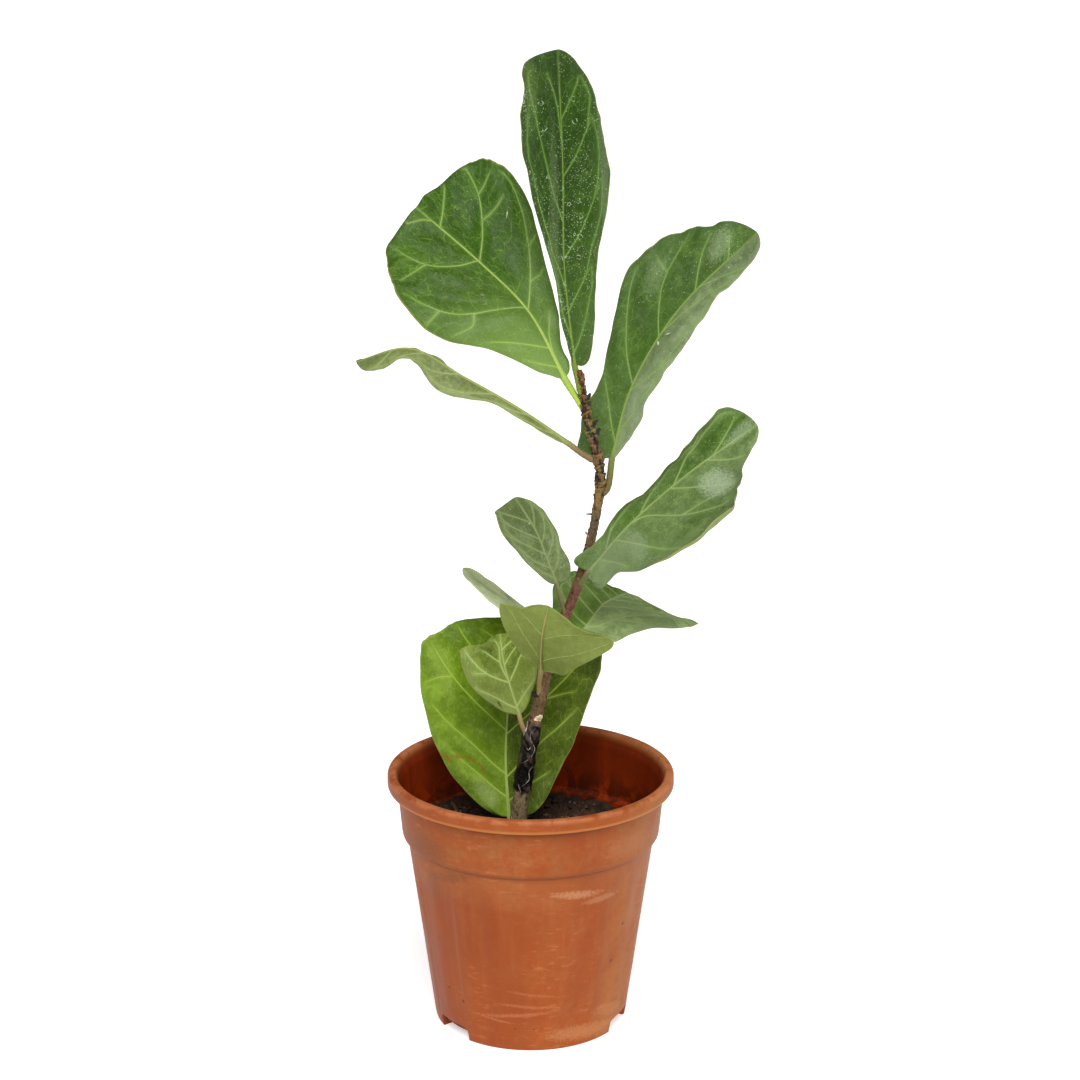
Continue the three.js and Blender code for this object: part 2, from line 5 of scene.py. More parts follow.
import bpy
import numpy as np
from bpy.props import FloatProperty, FloatVectorProperty, IntProperty, PointerProperty
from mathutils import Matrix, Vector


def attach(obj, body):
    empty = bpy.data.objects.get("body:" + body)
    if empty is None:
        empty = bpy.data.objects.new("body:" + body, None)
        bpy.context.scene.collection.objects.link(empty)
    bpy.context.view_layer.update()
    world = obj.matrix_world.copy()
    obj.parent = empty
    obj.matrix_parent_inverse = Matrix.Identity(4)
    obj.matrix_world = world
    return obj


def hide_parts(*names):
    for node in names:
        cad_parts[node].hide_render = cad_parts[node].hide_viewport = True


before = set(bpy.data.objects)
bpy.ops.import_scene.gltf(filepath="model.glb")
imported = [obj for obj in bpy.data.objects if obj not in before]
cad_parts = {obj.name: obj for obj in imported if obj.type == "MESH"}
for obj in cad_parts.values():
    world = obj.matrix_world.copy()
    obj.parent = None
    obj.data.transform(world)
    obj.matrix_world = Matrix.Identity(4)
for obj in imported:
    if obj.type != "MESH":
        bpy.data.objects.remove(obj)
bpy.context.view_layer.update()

bl_info = {
    "name": "Potted fiddle leaf fig",
    "version": (1, 0, 0),
    "blender": (4, 5, 0),
    "location": "View3D > Sidebar > Fig",
    "description": "Builds a young fiddle leaf fig in a terracotta coloured nursery pot",
    "category": "Add Mesh",
}

MM = 0.001
GAP = 0.3

# ---------------------------------------------------------------- the pot's driving dimensions, in mm

POT_HEIGHT = 155
WALL = 2.2
FOOT_RADIUS = 57.5
FOOT_BEVEL = 1.5
SHOULDER_HEIGHT = 115.5
SHOULDER_RADIUS = 73.5
SHOULDER_RISE = 3.2
COLLAR_FOOT_RADIUS = 76.5
COLLAR_TOP_RADIUS = 79.3
LIP_RADIUS = 85
LIP_HEIGHT = 8.5
LIP_BEVEL = 2.6
MOUTH_RADIUS = 80.3
NECK_HEIGHT = POT_HEIGHT - LIP_HEIGHT
CHANNEL_COUNT = 3
CHANNEL_TURN = -142.5
CHANNEL_HALF = 13
CHANNEL_HEIGHT = 8.5
CHANNEL_BEVEL = 3
CHANNEL_INNER_END = 32
DRAIN_RADIUS = 3.5
DRAIN_PLACE = 42
UNDER_RADII = (4, 14, 24, 31.9)
CHANNEL_RADII = (32, 38, 44, 50, 55)
FLOOR_RADII = (50, 42, 36, 30)
FLOOR_MIDDLE_RADII = (29.8, 18, 5)
FLUTE_COUNT = 20
FLUTE_TURN = -99
FLUTE_HALF = 3.5
FLUTE_EDGE = 2.5
WALL_WOBBLE = 0.12
DRAIN_SIDES = 32
SHARP_ANGLE = 48

# Smears and scratches on the front of the pot: middle (to the right, up), half length and half width in
# mm, turn in degrees, strength and 8-bit screen colour.
POT_MARKS = [
    ((26, 103), 17, 3.2, 6, 0.6, (186, 138, 100)), ((40, 97), 12, 2.4, -4, 0.4, (182, 134, 98)),
    ((-8, 24), 26, 1.6, -6, 0.35, (196, 128, 92)), ((-22, 20), 16, 1, 8, 0.3, (196, 128, 92)),
    ((30, 9), 26, 6, 4, 0.6, (176, 124, 80)), ((46, 18), 10, 6, 20, 0.45, (172, 120, 78)),
    ((-2, 30), 22, 1.2, 4, 0.4, (186, 116, 78)), ((2, 38), 20, 1.2, 8, 0.3, (186, 116, 78)),
    ((-60, 124), 14, 10, 0, 0.75, (112, 70, 44)), ((-46, 109), 16, 4, -20, 0.6, (110, 62, 34)),
    ((56, 128), 16, 9, 0, 0.4, (164, 110, 74)), ((-30, 122), 20, 2, -8, 0.35, (128, 74, 44)),
    ((-56, 100), 6, 12, 0, 0.5, (112, 70, 44)), ((54, 74), 1.1, 1.1, 0, 0.95, (84, 34, 18)),
    ((-48, 32), 0.8, 0.9, 0, 0.9, (60, 30, 20)), ((-9, 15), 0.8, 0.7, 0, 0.9, (60, 30, 20)),
    ((2, 15), 0.7, 0.6, 0, 0.9, (60, 30, 20)),
]

# ---------------------------------------------------------------- soil and stem, in mm

SOIL_LEVEL = 114
SOIL_TILT = 0.035
SOIL_LUMP = 0.8
SOIL_SIDES = 220
SOIL_RINGS = 90
CRUMB_SIZES = (0.5, 2.8)
CRUMB_REACH = 66
STEM = np.array([
    [-7, 2, 66, 4.6], [-8, 1, 96, 5.0], [-7, 0, 126, 5.0], [-4, 0, 150, 4.8], [0, 0, 174, 4.2],
    [6, 0, 200, 3.6], [15, 0, 236, 3.3], [25, 0, 262, 3.1], [33, 0, 288, 2.9], [38, 0, 312, 2.8],
    [40, 0, 332, 3.0], [37, 0, 351, 3.0], [32, 0, 369, 2.8], [28, 0, 396, 1.9],
])
KNOT_SWELL = 0.16
KNOT_LENGTH = 2.2
FILM_FOOT = 141
FILM_TOP = 186
YOUNG_FOOT = 322
BUD_FOOT = 392
STEM_ROWS = 680
STEM_SIDES = 64
SHRED_ROWS = 60
# Height, turn, lean, length, width, thickness and tone of each dry bud scale, stub and scar. The tone runs
# from dark brown at 0 to cream at 1.
STEM_SCALES = [
    (391, 170, 6, 5, 1.3, 0.7, 0.4), (390, -60, 14, 5, 1.2, 0.7, 0.5), (378, -15, 24, 6, 2.2, 1.3, 0),
    (374, -30, 20, 5, 2.0, 1.2, 0.15), (371, 200, 8, 5, 1.6, 0.8, 0.3), (363, -15, 36, 6, 2.0, 1.3, 0),
    (357, -6, 24, 6.5, 2.3, 1.6, 0), (356, -120, 8, 4, 1.6, 0.9, 0.35), (331, -15, 12, 6, 1.8, 1.2, 0),
    (330, 190, 10, 5.5, 2.0, 1.4, 0), (326, 205, 12, 4.5, 1.8, 1.2, 0), (320, 180, 20, 4, 1.6, 1.0, 0.1),
    (311, 185, 78, 5, 0.7, 0.6, 0), (297, 195, 24, 5, 1.7, 0.8, 0.65), (200, 200, 40, 6, 2.4, 1.8, 0),
    (187.5, -55, 60, 4.5, 2.6, 2.0, 1), (157, 10, 20, 8, 2.6, 1.4, 0), (145, -150, 16, 8, 2.6, 1.2, 0),
]
# Heights of the rings that old leaves and their sheaths left on the bark.
SCAR_HEIGHTS = [390, 385.5, 381, 376.5, 371, 367, 361, 356.5, 352, 347, 339.5, 335, 331, 326, 319, 313.5,
                306, 301, 292, 284, 272, 263, 252.5, 244, 233, 224, 214, 207, 199.5, 193, 186]
# Stops of height, turn and lift, and the half width, of each pale shred of film and each fibre at the soil.
FILM_SHREDS = [
    ([(182, -78, 0.3), (179, -100, 0.8), (175, -92, 0.5), (171, -62, 0.6), (168, -52, 0.5), (164, -70, 0.4),
      (160, -120, 0.3)], 0.24),
    ([(172, -75, 0.4), (169, -92, 0.6), (170, -110, 0.3)], 0.2),
    ([(186, -150, 0.4), (181, -140, 0.7), (176, -158, 0.3)], 0.55),
    ([(158, -48, 0.6), (155, -66, 0.5), (150, -60, 0.6), (146, -95, 0.3)], 0.26),
    ([(147, -120, 0.2), (142, -100, 0.3), (139, -128, 0.2)], 0.22),
    ([(125, -165, 0.5), (121, -150, 1.8), (116, -170, 1.2), (112, -160, 0.5)], 0.3),
    ([(127, -140, 0.2), (121, -128, 0.9), (115, -135, 1.5), (111, -120, 0.8)], 0.2),
    ([(124, -60, 0.2), (120, -45, 0.9), (115, -58, 1.4), (111, -50, 0.6)], 0.22),
    ([(122, -20, 0.3), (117, -8, 1.0), (112, -15, 1.2)], 0.2),
]

# ---------------------------------------------------------------- leaves, in mm and degrees

RIB_TIP_RADIUS = 0.6
RIB_SINK = 0.45
VEIN_SWEEP = 0.75
SIDE_SHIFT = 1.2
LOOP_START = 0.66
LOOP_END = 0.82
BULGE_REACH = 6


def feather(starts, lean):
    """Evenly leaning lateral veins: each runs from its start on the midrib towards the margin, and leans
    forward by up to lean, the more the nearer it is to the margin.
    """
    return [[(s, 0), (s + 0.25 * lean, 0.35), (s + 0.6 * lean, 0.7), (s + lean, 0.93)] for s in starts]


# Each leaf's stalk, midrib, half widths, looks, fold, curl, roll, ears and waves give its form. veins are
# its lateral veins, left and right, each as (share of the midrib, part of the way to the margin). vein and
# rib scale the width of laterals and midrib. colors are 8-bit screen colours of the left half, the right
# half, the underside, the laterals, the midrib and the stalk's foot; on the basal and upper right leaves
# the two halves differ partly by painted light. trough paints shade along the midrib and rim paints
# light towards the margins. marks are scars, dusty patches and painted sheen strips: x, y, half length
# and half width in mm on the flat blade, turn, strength and colour.
#
# What a leaf in the table doesn't say for itself.
LEAF_COMMON = dict(roll=[0, 0], ears=-0.3, waves=2, start=0, slim=0.8, marks=[])
LEAVES = [
    dict(
        name="leaf_top_upright",
        stalk=[[29, 0, 382], [27, 1, 390]],
        midrib=[[25, 3, 399], [19, 10, 453], [18, 15, 510], [15, 14, 574]],
        left=[1, 2, 5, 7, 19.5, 25, 21.5, 20, 0], right=[1, 9, 15, 20, 27, 23.5, 19, 10.5, 0],
        looks=[[0.15, -1, 0.1], [0.05, -1, 0.3]], fold=[24, 16], curl=[-10, 10], ears=-0.7, wave=1.2,
        stalk_radius=1.8,
        veins=[
            [[(0.07, 0), (0.13, 0.4), (0.18, 0.7)], [(0.25, 0), (0.31, 0.4), (0.38, 0.8)],
             [(0.48, 0), (0.56, 0.3), (0.66, 0.46), (0.81, 0.7)], [(0.73, 0), (0.84, 0.1), (0.93, 0.33)]],
            [[(0.03, 0), (0.09, 0.38), (0.17, 0.7)], [(0.18, 0), (0.25, 0.48), (0.3, 0.81)],
             [(0.36, 0), (0.41, 0.38), (0.46, 0.57), (0.54, 0.83)],
             [(0.63, 0), (0.67, 0.34), (0.76, 0.82)], [(0.8, 0), (0.86, 0.4), (0.91, 0.75)]],
        ],
        vein=0.7, rib=0.75, paling=0.4,
        colors=[(31, 57, 3), (36, 64, 3), (100, 116, 66), (96, 128, 56), (104, 126, 52), (110, 125, 40)],
        painted_trough_shade=0.65, rim=0.5, slim=1.1, ragged=0.3, flutter=0.9, quilt=0.8, dust=0.07, specks=0.7,
        roughness=0.4,
        # The first two marks are painted sheen: a grey strip left of the midrib and one along the right
        # margin.
        marks=[(80, -6, 75, 4, 0, 0.5, (92, 108, 70)), (100, 24, 75, 3, 2, 0.45, (112, 124, 92)),
               (150, -18, 34, 5, 0, 0.25, (110, 130, 70))],
    ),
    dict(
        name="leaf_upper_left",
        stalk=[[30, 0, 373], [25, 3, 381]],
        midrib=[[19, 6, 391], [-1, 18, 426], [-29, 33, 452], [-66, 46, 482]],
        left=[1, 8, 24.5, 48.5, 49, 42, 35, 27, 0], right=[1, 6, 9, 22, 50, 49, 42, 31, 0],
        looks=[[0.25, -0.9, 0.45], [0.1, -0.9, 0.45]], fold=[10, 12], curl=[-22, -14], ears=-0.2,
        wave=1.5, start=40, stalk_radius=2.2,
        veins=[
            [[(0.04, 0), (0.08, 0.5), (0.12, 0.85)], [(0.14, 0), (0.19, 0.57), (0.22, 0.83)],
             [(0.36, 0), (0.37, 0.5), (0.43, 0.75), (0.56, 0.93)],
             [(0.37, 0.5), (0.31, 0.66), (0.3, 0.92)], [(0.43, 0.75), (0.38, 0.96)],
             [(0.68, 0), (0.67, 0.28), (0.72, 0.56), (0.9, 0.81)], [(0.72, 0.56), (0.66, 0.9)],
             [(0.92, 0), (0.95, 0.15), (0.985, 0.6)]],
            [[(0.07, 0), (0.18, 0.26), (0.25, 0.6)],
             [(0.34, 0), (0.38, 0.35), (0.42, 0.62), (0.52, 0.89), (0.6, 0.93)],
             [(0.38, 0.35), (0.35, 0.65), (0.34, 0.9)], [(0.42, 0.66), (0.4, 0.95)],
             [(0.67, 0), (0.68, 0.31), (0.73, 0.61), (0.86, 0.85), (0.92, 0.92)],
             [(0.73, 0.61), (0.7, 0.72), (0.66, 0.89)], [(0.68, 0.4), (0.62, 0.57), (0.57, 0.74)],
             [(0.88, 0), (0.9, 0.23), (0.96, 0.63)]],
        ],
        vein=0.8, rib=1.25, paling=1.0,
        colors=[(54, 86, 12), (49, 83, 9), (110, 130, 70), (130, 156, 72), (150, 172, 82), (160, 184, 74)],
        slim=0.7, painted_trough_shade=0.1, rim=0.1, ragged=0.6, flutter=1.0, quilt=1.9, dust=0.05, specks=0.02,
        roughness=0.34,
        marks=[(73, 31, 2.4, 0.45, 80, 0.9, (214, 216, 170)), (30, 8, 8, 4, 20, 0.25, (140, 158, 112))],
    ),
    dict(
        name="leaf_upper_right",
        stalk=[[39, 1, 322], [44.5, 2, 327]],
        midrib=[[47, 9, 343], [59, 18, 384], [86, 26, 427], [130, 34, 469]],
        left=[1, 19.5, 22, 20, 38.5, 34, 23.5, 15, 0], right=[1, 3.5, 10.5, 14, 17, 14.5, 13, 9, 0],
        looks=[[-0.1, -0.9, 0.4], [-0.3, -0.9, 0.35]], fold=[8, 20], curl=[-14, -10], ears=-0.6, wave=1.5,
        waves=2.5, start=90, stalk_radius=1.9,
        veins=[
            [[(0.06, 0), (0.18, 0.33), (0.24, 0.65), (0.27, 0.88)],
             [(0.33, 0), (0.39, 0.44), (0.46, 0.71), (0.52, 0.9)],
             [(0.54, 0), (0.59, 0.33), (0.64, 0.54), (0.76, 0.89)], [(0.64, 0.54), (0.6, 0.8)],
             [(0.74, 0), (0.79, 0.4), (0.86, 0.8)], [(0.88, 0), (0.92, 0.5)]],
            [[(0.1, 0), (0.2, 0.5), (0.28, 0.9)], [(0.3, 0), (0.37, 0.56), (0.44, 0.9)],
             [(0.56, 0), (0.68, 0.38), (0.76, 0.69), (0.8, 0.9)], [(0.76, 0), (0.84, 0.6), (0.88, 0.9)]],
        ],
        vein=0.75, rib=0.9, paling=0.2,
        # The right half's pale grey-green colour is partly painted sheen, on the half that faced the light.
        colors=[(54, 84, 20), (98, 114, 76), (112, 128, 76), (112, 136, 70), (118, 144, 64), (104, 84, 50)],
        painted_trough_shade=0.3, rim=0.3, slim=1.1, ragged=0.7, flutter=1.1, quilt=1.3, dust=0.13, specks=0.08,
        roughness=0.4,
        marks=[(80, 2, 2.4, 0.5, 30, 0.9, (212, 220, 200)), (86, 4, 1.4, 0.5, -60, 0.9, (212, 220, 200)),
               (137, -10, 12, 8, 20, 0.4, (150, 166, 128)), (92, -24, 12, 8, 20, 0.25, (140, 156, 116)),
               (40, 6, 20, 4, 4, 0.4, (128, 140, 112))],
    ),
    dict(
        name="leaf_left_spear",
        stalk=[[37, 0, 343], [30, -1, 347]],
        midrib=[[22, -1, 354], [-6, -4, 374], [-38, -5, 393], [-68, -4, 409], [-99, 0, 401]],
        left=[1, 3, 7, 5, 14, 8, 9, 7, 0], right=[1, 6, 11, 13, 14, 13, 11, 7, 0],
        looks=[[0.1, 0.05, 1], [0.1, -0.1, 1]], fold=[-50, -20], curl=[0, 0], wave=2, waves=2.4,
        start=-110, stalk_radius=1.7,
        veins=[
            feather([0.06, 0.2, 0.36, 0.52, 0.68, 0.83], 0.12),
            feather([0.08, 0.23, 0.38, 0.54, 0.7, 0.84], 0.12),
        ],
        vein=0.7, rib=0.9, paling=0.2,
        colors=[(92, 105, 50), (92, 105, 50), (108, 121, 72), (136, 150, 94), (138, 146, 84),
                (120, 96, 66)],
        painted_trough_shade=0.3, rim=0.3, slim=1.1, ragged=0.7, flutter=1.3, quilt=1.2, dust=0.4, specks=0.04,
        roughness=0.5,
    ),
    dict(
        name="leaf_right_arched",
        stalk=[[28, -1, 268], [31, -5, 274]],
        midrib=[[34, -9, 280], [57, -14, 309], [88, -20, 339], [127, -26, 370]],
        left=[1, 11, 8, 10, 8, 14, 20, 13, 0], right=[1, 12, 18, 43, 48, 31, 16, 8, 0],
        looks=[[-0.2, -0.75, 0.75], [-0.2, -0.8, 0.6]], fold=[4, -8], curl=[0, -8], roll=[150, 150],
        ears=-0.9, wave=1.5, waves=2.5, stalk_radius=1.7,
        veins=[
            [[(0.14, 0), (0.2, 0.5), (0.26, 0.9)], [(0.4, 0), (0.46, 0.5), (0.52, 0.9)],
             [(0.6, 0), (0.66, 0.6), (0.75, 0.93)], [(0.8, 0), (0.88, 0.35), (0.94, 0.7)]],
            [[(0.08, 0), (0.13, 0.4), (0.18, 0.8)], [(0.22, 0), (0.27, 0.3), (0.32, 0.65), (0.37, 0.9)],
             [(0.34, 0), (0.41, 0.08), (0.47, 0.35), (0.56, 0.59), (0.64, 0.85)],
             [(0.47, 0.35), (0.56, 0.42), (0.66, 0.6)], [(0.58, 0), (0.66, 0.4), (0.73, 0.75)],
             [(0.77, 0), (0.83, 0.45), (0.88, 0.8)]],
        ],
        vein=0.8, rib=0.8, paling=0.2,
        colors=[(62, 92, 24), (84, 108, 54), (120, 136, 80), (128, 150, 88), (134, 152, 90),
                (112, 104, 58)],
        painted_trough_shade=0.1, rim=0.6, ragged=0.5, flutter=1.0, quilt=1.6, dust=0.3, specks=0.06, roughness=0.38,
        marks=[(90, 15, 14, 10, 30, 0.8, (160, 174, 146)), (75, 31, 1.6, 1.1, 0, 0.95, (24, 20, 14)),
               (122, -2, 12, 5, 10, 0.5, (156, 170, 136)), (34, 14, 16, 7, 60, 0.4, (150, 164, 134)),
               (18, 6, 26, 14, 0, 0.7, (118, 130, 98))],
    ),
    dict(
        name="leaf_mid_left",
        stalk=[[21, 0, 247], [18, -4, 259]],
        midrib=[[15, -6, 272], [9, -4, 287], [3, 1, 301], [-9, 8, 319]],
        left=[1, 4, 8, 14.5, 18.5, 17.5, 15.5, 14, 0], right=[2, 8.5, 11.5, 10.5, 10.5, 10, 7.5, 3.5, 0],
        looks=[[0.1, -0.9, 0.4], [0.2, -0.9, 0.4]], fold=[10, 10], curl=[-10, -10], wave=0.8,
        stalk_radius=1.3,
        veins=[feather([0.05, 0.18, 0.36, 0.56, 0.75], 0.2), feather([0.12, 0.3, 0.5, 0.7], 0.22)],
        vein=0.5, rib=0.9, paling=0.2,
        colors=[(72, 86, 42), (70, 86, 38), (116, 130, 78), (122, 138, 88), (126, 138, 88), (108, 98, 66)],
        painted_trough_shade=0.4, rim=0.3, ragged=0.4, flutter=0.6, quilt=0.7, dust=0.4, specks=0.04, roughness=0.5,
    ),
    dict(
        name="leaf_lower_right",
        stalk=[[16, 0, 229], [24, 2, 235]],
        midrib=[[31, 6, 239], [42, 32, 246], [52, 58, 244], [60, 80, 240]],
        left=[1, 14, 26, 36, 37, 34, 31, 18, 0], right=[1, 16, 25, 40.5, 47, 47, 38, 20, 0],
        looks=[[0.1, -0.3, 1], [0.15, -0.3, 1]], fold=[8, -2], curl=[-14, -7], ears=-0.5, wave=1.5,
        stalk_radius=1.8,
        veins=[
            feather([0.06, 0.2, 0.36, 0.54, 0.72, 0.86], 0.2),
            [[(0.04, 0), (0.11, 0.28), (0.2, 0.4), (0.34, 0.56), (0.53, 0.85)],
             [(0.2, 0.4), (0.22, 0.6), (0.26, 0.85)], [(0.32, 0), (0.42, 0.4), (0.56, 0.8)],
             [(0.54, 0), (0.64, 0.45), (0.74, 0.85)], [(0.76, 0), (0.86, 0.7)]],
        ],
        vein=0.8, rib=0.9, paling=0.1,
        colors=[(84, 118, 24), (128, 150, 90), (116, 132, 76), (150, 168, 108), (150, 166, 104),
                (110, 108, 62)],
        painted_trough_shade=0.2, rim=0.2, ragged=0.5, flutter=0.8, quilt=1.2, dust=0.25, specks=0.04, roughness=0.46,
    ),
    dict(
        name="leaf_left_strip",
        stalk=[[12, 0, 222], [11, 1, 230]],
        midrib=[[8, 2, 236], [-7, 12, 249], [-23, 22, 259], [-40, 30, 270]],
        left=[1, 5, 8.5, 12.5, 15, 15.5, 11, 5, 0], right=[1, 5, 8, 8, 7, 8.5, 9.5, 7, 0],
        looks=[[0.3, -0.2, 1], [0.2, 0.05, 1]], fold=[8, 8], curl=[-10, -10], ears=-0.1, wave=0.8,
        stalk_radius=1.3,
        veins=[feather([0.1, 0.28, 0.46, 0.64, 0.8], 0.18), feather([0.12, 0.3, 0.48, 0.66, 0.82], 0.18)],
        vein=0.5, rib=0.9, paling=0.2,
        colors=[(150, 160, 120), (150, 160, 120), (116, 130, 78), (148, 158, 112), (138, 152, 100),
                (104, 94, 62)],
        painted_trough_shade=0.5, rim=0.5, ragged=0.4, flutter=0.6, quilt=0.7, dust=0.4, specks=0.16, roughness=0.5,
        marks=[(46, -5, 14, 3, 0, 0.45, (84, 100, 60)), (30, 4, 8, 2, 0, 0.4, (90, 104, 66))],
    ),
    dict(
        name="leaf_front",
        stalk=[[5, 0, 199], [5, -5, 210]],
        midrib=[[6, -12, 221], [6, -26, 237], [7, -42, 254], [10, -54, 272]],
        left=[1, 5, 18, 26, 43, 42, 28, 20, 0], right=[1, 3, 8, 17.5, 26, 24.5, 16, 10, 0],
        looks=[[0, 0.6, 0.9], [0, 0.75, 0.8]], fold=[-34, 12], curl=[-8, -6], wave=1.5, stalk_radius=1.6,
        veins=[
            [[(0.14, 0), (0.3, 0.4), (0.44, 0.72), (0.57, 0.95)],
             [(0.54, 0.01), (0.63, 0.31), (0.66, 0.9)]],
            [[(0.16, 0), (0.21, 0.11), (0.45, 0.45), (0.6, 0.68), (0.66, 0.9)],
             [(0.6, 0.01), (0.7, 0.4), (0.78, 0.8)]],
        ],
        vein=0.45, rib=0.5, paling=0.1,
        colors=[(97, 118, 48), (79, 100, 35), (121, 135, 65), (154, 168, 98), (160, 148, 92),
                (146, 124, 80)],
        painted_trough_shade=0.2, rim=0.2, ragged=0.4, flutter=0.8, quilt=0.9, dust=0.15, specks=0, roughness=0.55,
    ),
    dict(
        name="leaf_front_small",
        stalk=[[-1, 0, 174], [-5, -2, 183]],
        midrib=[[-7, -2, 191], [-12, -4, 208], [-16, -4, 224], [-18, -1, 239]],
        left=[1, 5, 13, 23, 24, 17, 9, 5, 0], right=[1, 5, 12, 19.5, 21, 18, 14.5, 10, 0],
        looks=[[0.1, -0.9, 0.3], [0.1, -0.8, 0.5]], fold=[6, 10], curl=[-20, -20], wave=1, waves=3,
        stalk_radius=1.4,
        veins=[
            [[(0.05, 0), (0.12, 0.35), (0.21, 0.63), (0.26, 0.9)],
             [(0.38, 0), (0.41, 0.46), (0.47, 0.75), (0.54, 0.92)], [(0.41, 0.46), (0.36, 0.8)],
             [(0.4, 0), (0.6, 0.1), (0.82, 0.15), (0.92, 0.5)], [(0.62, 0.1), (0.68, 0.6)]],
            [[(0.08, 0), (0.16, 0.5), (0.22, 0.9)], [(0.38, 0), (0.45, 0.3), (0.54, 0.55), (0.62, 0.88)],
             [(0.54, 0.55), (0.46, 0.85)], [(0.6, 0), (0.7, 0.4), (0.78, 0.8)], [(0.8, 0), (0.88, 0.6)]],
        ],
        vein=0.85, rib=1.0, paling=0.3,
        colors=[(90, 107, 28), (90, 107, 26), (116, 134, 72), (148, 168, 98), (150, 164, 98),
                (150, 118, 88)],
        painted_trough_shade=0.1, rim=0.3, slim=1.1, ragged=0.6, flutter=1.0, quilt=2.3, dust=0.15, specks=0.06,
        roughness=0.42,
        marks=[(7, -9, 2.6, 0.8, 20, 0.85, (30, 34, 16)), (20, 1, 1.6, 1, 0, 0.5, (120, 104, 40))],
    ),
    dict(
        name="leaf_basal",
        stalk=[[-7, 0, 119], [-11, 4, 119]],
        midrib=[[-13, 9, 122], [-15, 20, 155], [-13, 33, 193], [-10, 44, 235]],
        left=[1, 11, 28, 50, 54.5, 43.5, 37, 27, 0], right=[1.5, 17, 30, 44, 55, 46, 35, 24, 0],
        looks=[[0, -1, 0.25], [0, -1, 0.5]], fold=[10, 10], curl=[-20, -10], ears=-0.25, wave=1.5,
        stalk_radius=1.7,
        veins=[
            [[(0.1, 0), (0.15, 0.25), (0.21, 0.5), (0.25, 0.85)],
             [(0.24, 0), (0.3, 0.38), (0.32, 0.69), (0.34, 0.88)],
             [(0.47, 0), (0.48, 0.39), (0.51, 0.66), (0.56, 0.92)], [(0.5, 0.64), (0.39, 0.94)],
             [(0.66, 0), (0.7, 0.4), (0.78, 0.71), (0.86, 0.93)], [(0.84, 0), (0.9, 0.5)]],
            [[(0.08, 0), (0.14, 0.4), (0.18, 0.8)], [(0.22, 0), (0.31, 0.44), (0.34, 0.67), (0.37, 0.86)],
             [(0.45, 0), (0.5, 0.4), (0.55, 0.7), (0.6, 0.92)], [(0.5, 0.4), (0.44, 0.75)],
             [(0.66, 0), (0.71, 0.4), (0.79, 0.75), (0.84, 0.92)], [(0.84, 0), (0.9, 0.5)]],
        ],
        vein=0.95, rib=1.7, paling=0.1,
        # The left half's colour is partly painted light, and the right half's partly painted shade.
        colors=[(93, 123, 2), (68, 87, 2), (114, 132, 58), (140, 164, 66), (152, 167, 92), (130, 132, 80)],
        painted_trough_shade=0.1, rim=0.1, ragged=0.6, flutter=1.0, quilt=1.4, dust=0.02, specks=0, roughness=0.42,
        marks=[(26, -35, 4.5, 0.9, 82, 0.9, (146, 82, 34)), (28, -28, 4.5, 0.8, 98, 0.9, (140, 80, 36)),
               (29.5, -20, 4.5, 0.8, 80, 0.85, (146, 86, 38)), (27, -14, 4, 0.8, 50, 0.85, (140, 84, 38)),
               (60, -42, 16, 9, 30, 0.35, (150, 168, 80)), (14, -12, 12, 7, 40, 0.3, (156, 164, 110))],
    ),
]
LEAVES = [{**LEAF_COMMON, **leaf} for leaf in LEAVES]
BLADE_ROWS = 150
BLADE_COLUMNS = 44
VEIN_SIDES = 10
RIB_HALF = 0.55
RIB_TAPER = 0.3
FOOT_FADE = 0.03
STALK_ROWS = 96
STALK_SIDES = 18

# ---------------------------------------------------------------- the photograph's view, and the lights

PHOTO_PIXELS = 1080
SENSOR = 36
CAMERA_DISTANCE = 1.4
CAMERA_HEIGHT = 0.677235
CAMERA_PITCH = 0.266
FOCAL_PIXELS = 2506.6
CENTRE_COLUMN = 530.6
FLOOR_REACH = 40
FLOOR_GLOW = 0.45
SUN_HEADING = (-0.03, 0.62, -0.75)
SUN_SPREAD = 36
KEY_PLACE = (-0.8, -1.4, 1.3)
FILL_PLACE = (1.4, -0.9, 0.9)
LAMP_SIZE = 0.8
PLANT_MIDDLE = (0, 0, 0.3)


# ================================================================ small helpers


def shade(red, green, blue):
    """Turns an 8-bit screen colour into the linear colour that shaders take."""
    parts = np.array([red, green, blue]) / 255
    linear = np.where(parts <= 0.04045, parts / 12.92, ((parts + 0.055) / 1.055) ** 2.4)
    return tuple(float(part) for part in linear)


def smooth(x):
    """Eases from 0 to 1 as x does."""
    x = np.clip(x, 0, 1)
    return x * x * (3 - 2 * x)


def unit(vectors):
    """The same directions at length one."""
    return vectors / np.maximum(np.linalg.norm(vectors, axis=-1, keepdims=True), 1e-12)


def turned(x, y, angle):
    """Turns flat places by an angle, from x towards y."""
    return x * np.cos(angle) - y * np.sin(angle), x * np.sin(angle) + y * np.cos(angle)


def ring(radius, height, turns):
    """Points round the Z axis at a radius and a height, one for each turn from +X."""
    return np.stack(np.broadcast_arrays(radius * np.cos(turns), radius * np.sin(turns), height), -1)


def along_curve(points, t):
    """Points on a uniform Catmull-Rom curve through the given points. It runs on straight at both ends."""
    points = np.asarray(points, float)
    t = np.asarray(t, float)
    last = len(points) - 1
    inside = np.clip(t, 0, 1)
    step = np.minimum((inside * last).astype(int), last - 1)
    f = (inside * last - step)[..., None]
    padded = np.vstack([2 * points[0] - points[1], points, 2 * points[-1] - points[-2]])
    a, b, c, d = (padded[step + k] for k in range(4))
    square, cube = 2 * a - 5 * b + 4 * c - d, 3 * b - a - 3 * c + d
    curve = 0.5 * (2 * b + (c - a) * f + square * f**2 + cube * f**3)
    heading = np.where((t < 0)[..., None], points[1] - points[0], points[-1] - points[-2]) * last
    return curve + heading * (t - inside)[..., None]


def along_values(values, t):
    """A smooth row of numbers at even steps, never below zero."""
    return np.maximum(along_curve(np.array(values, float)[:, None], t)[..., 0], 0)


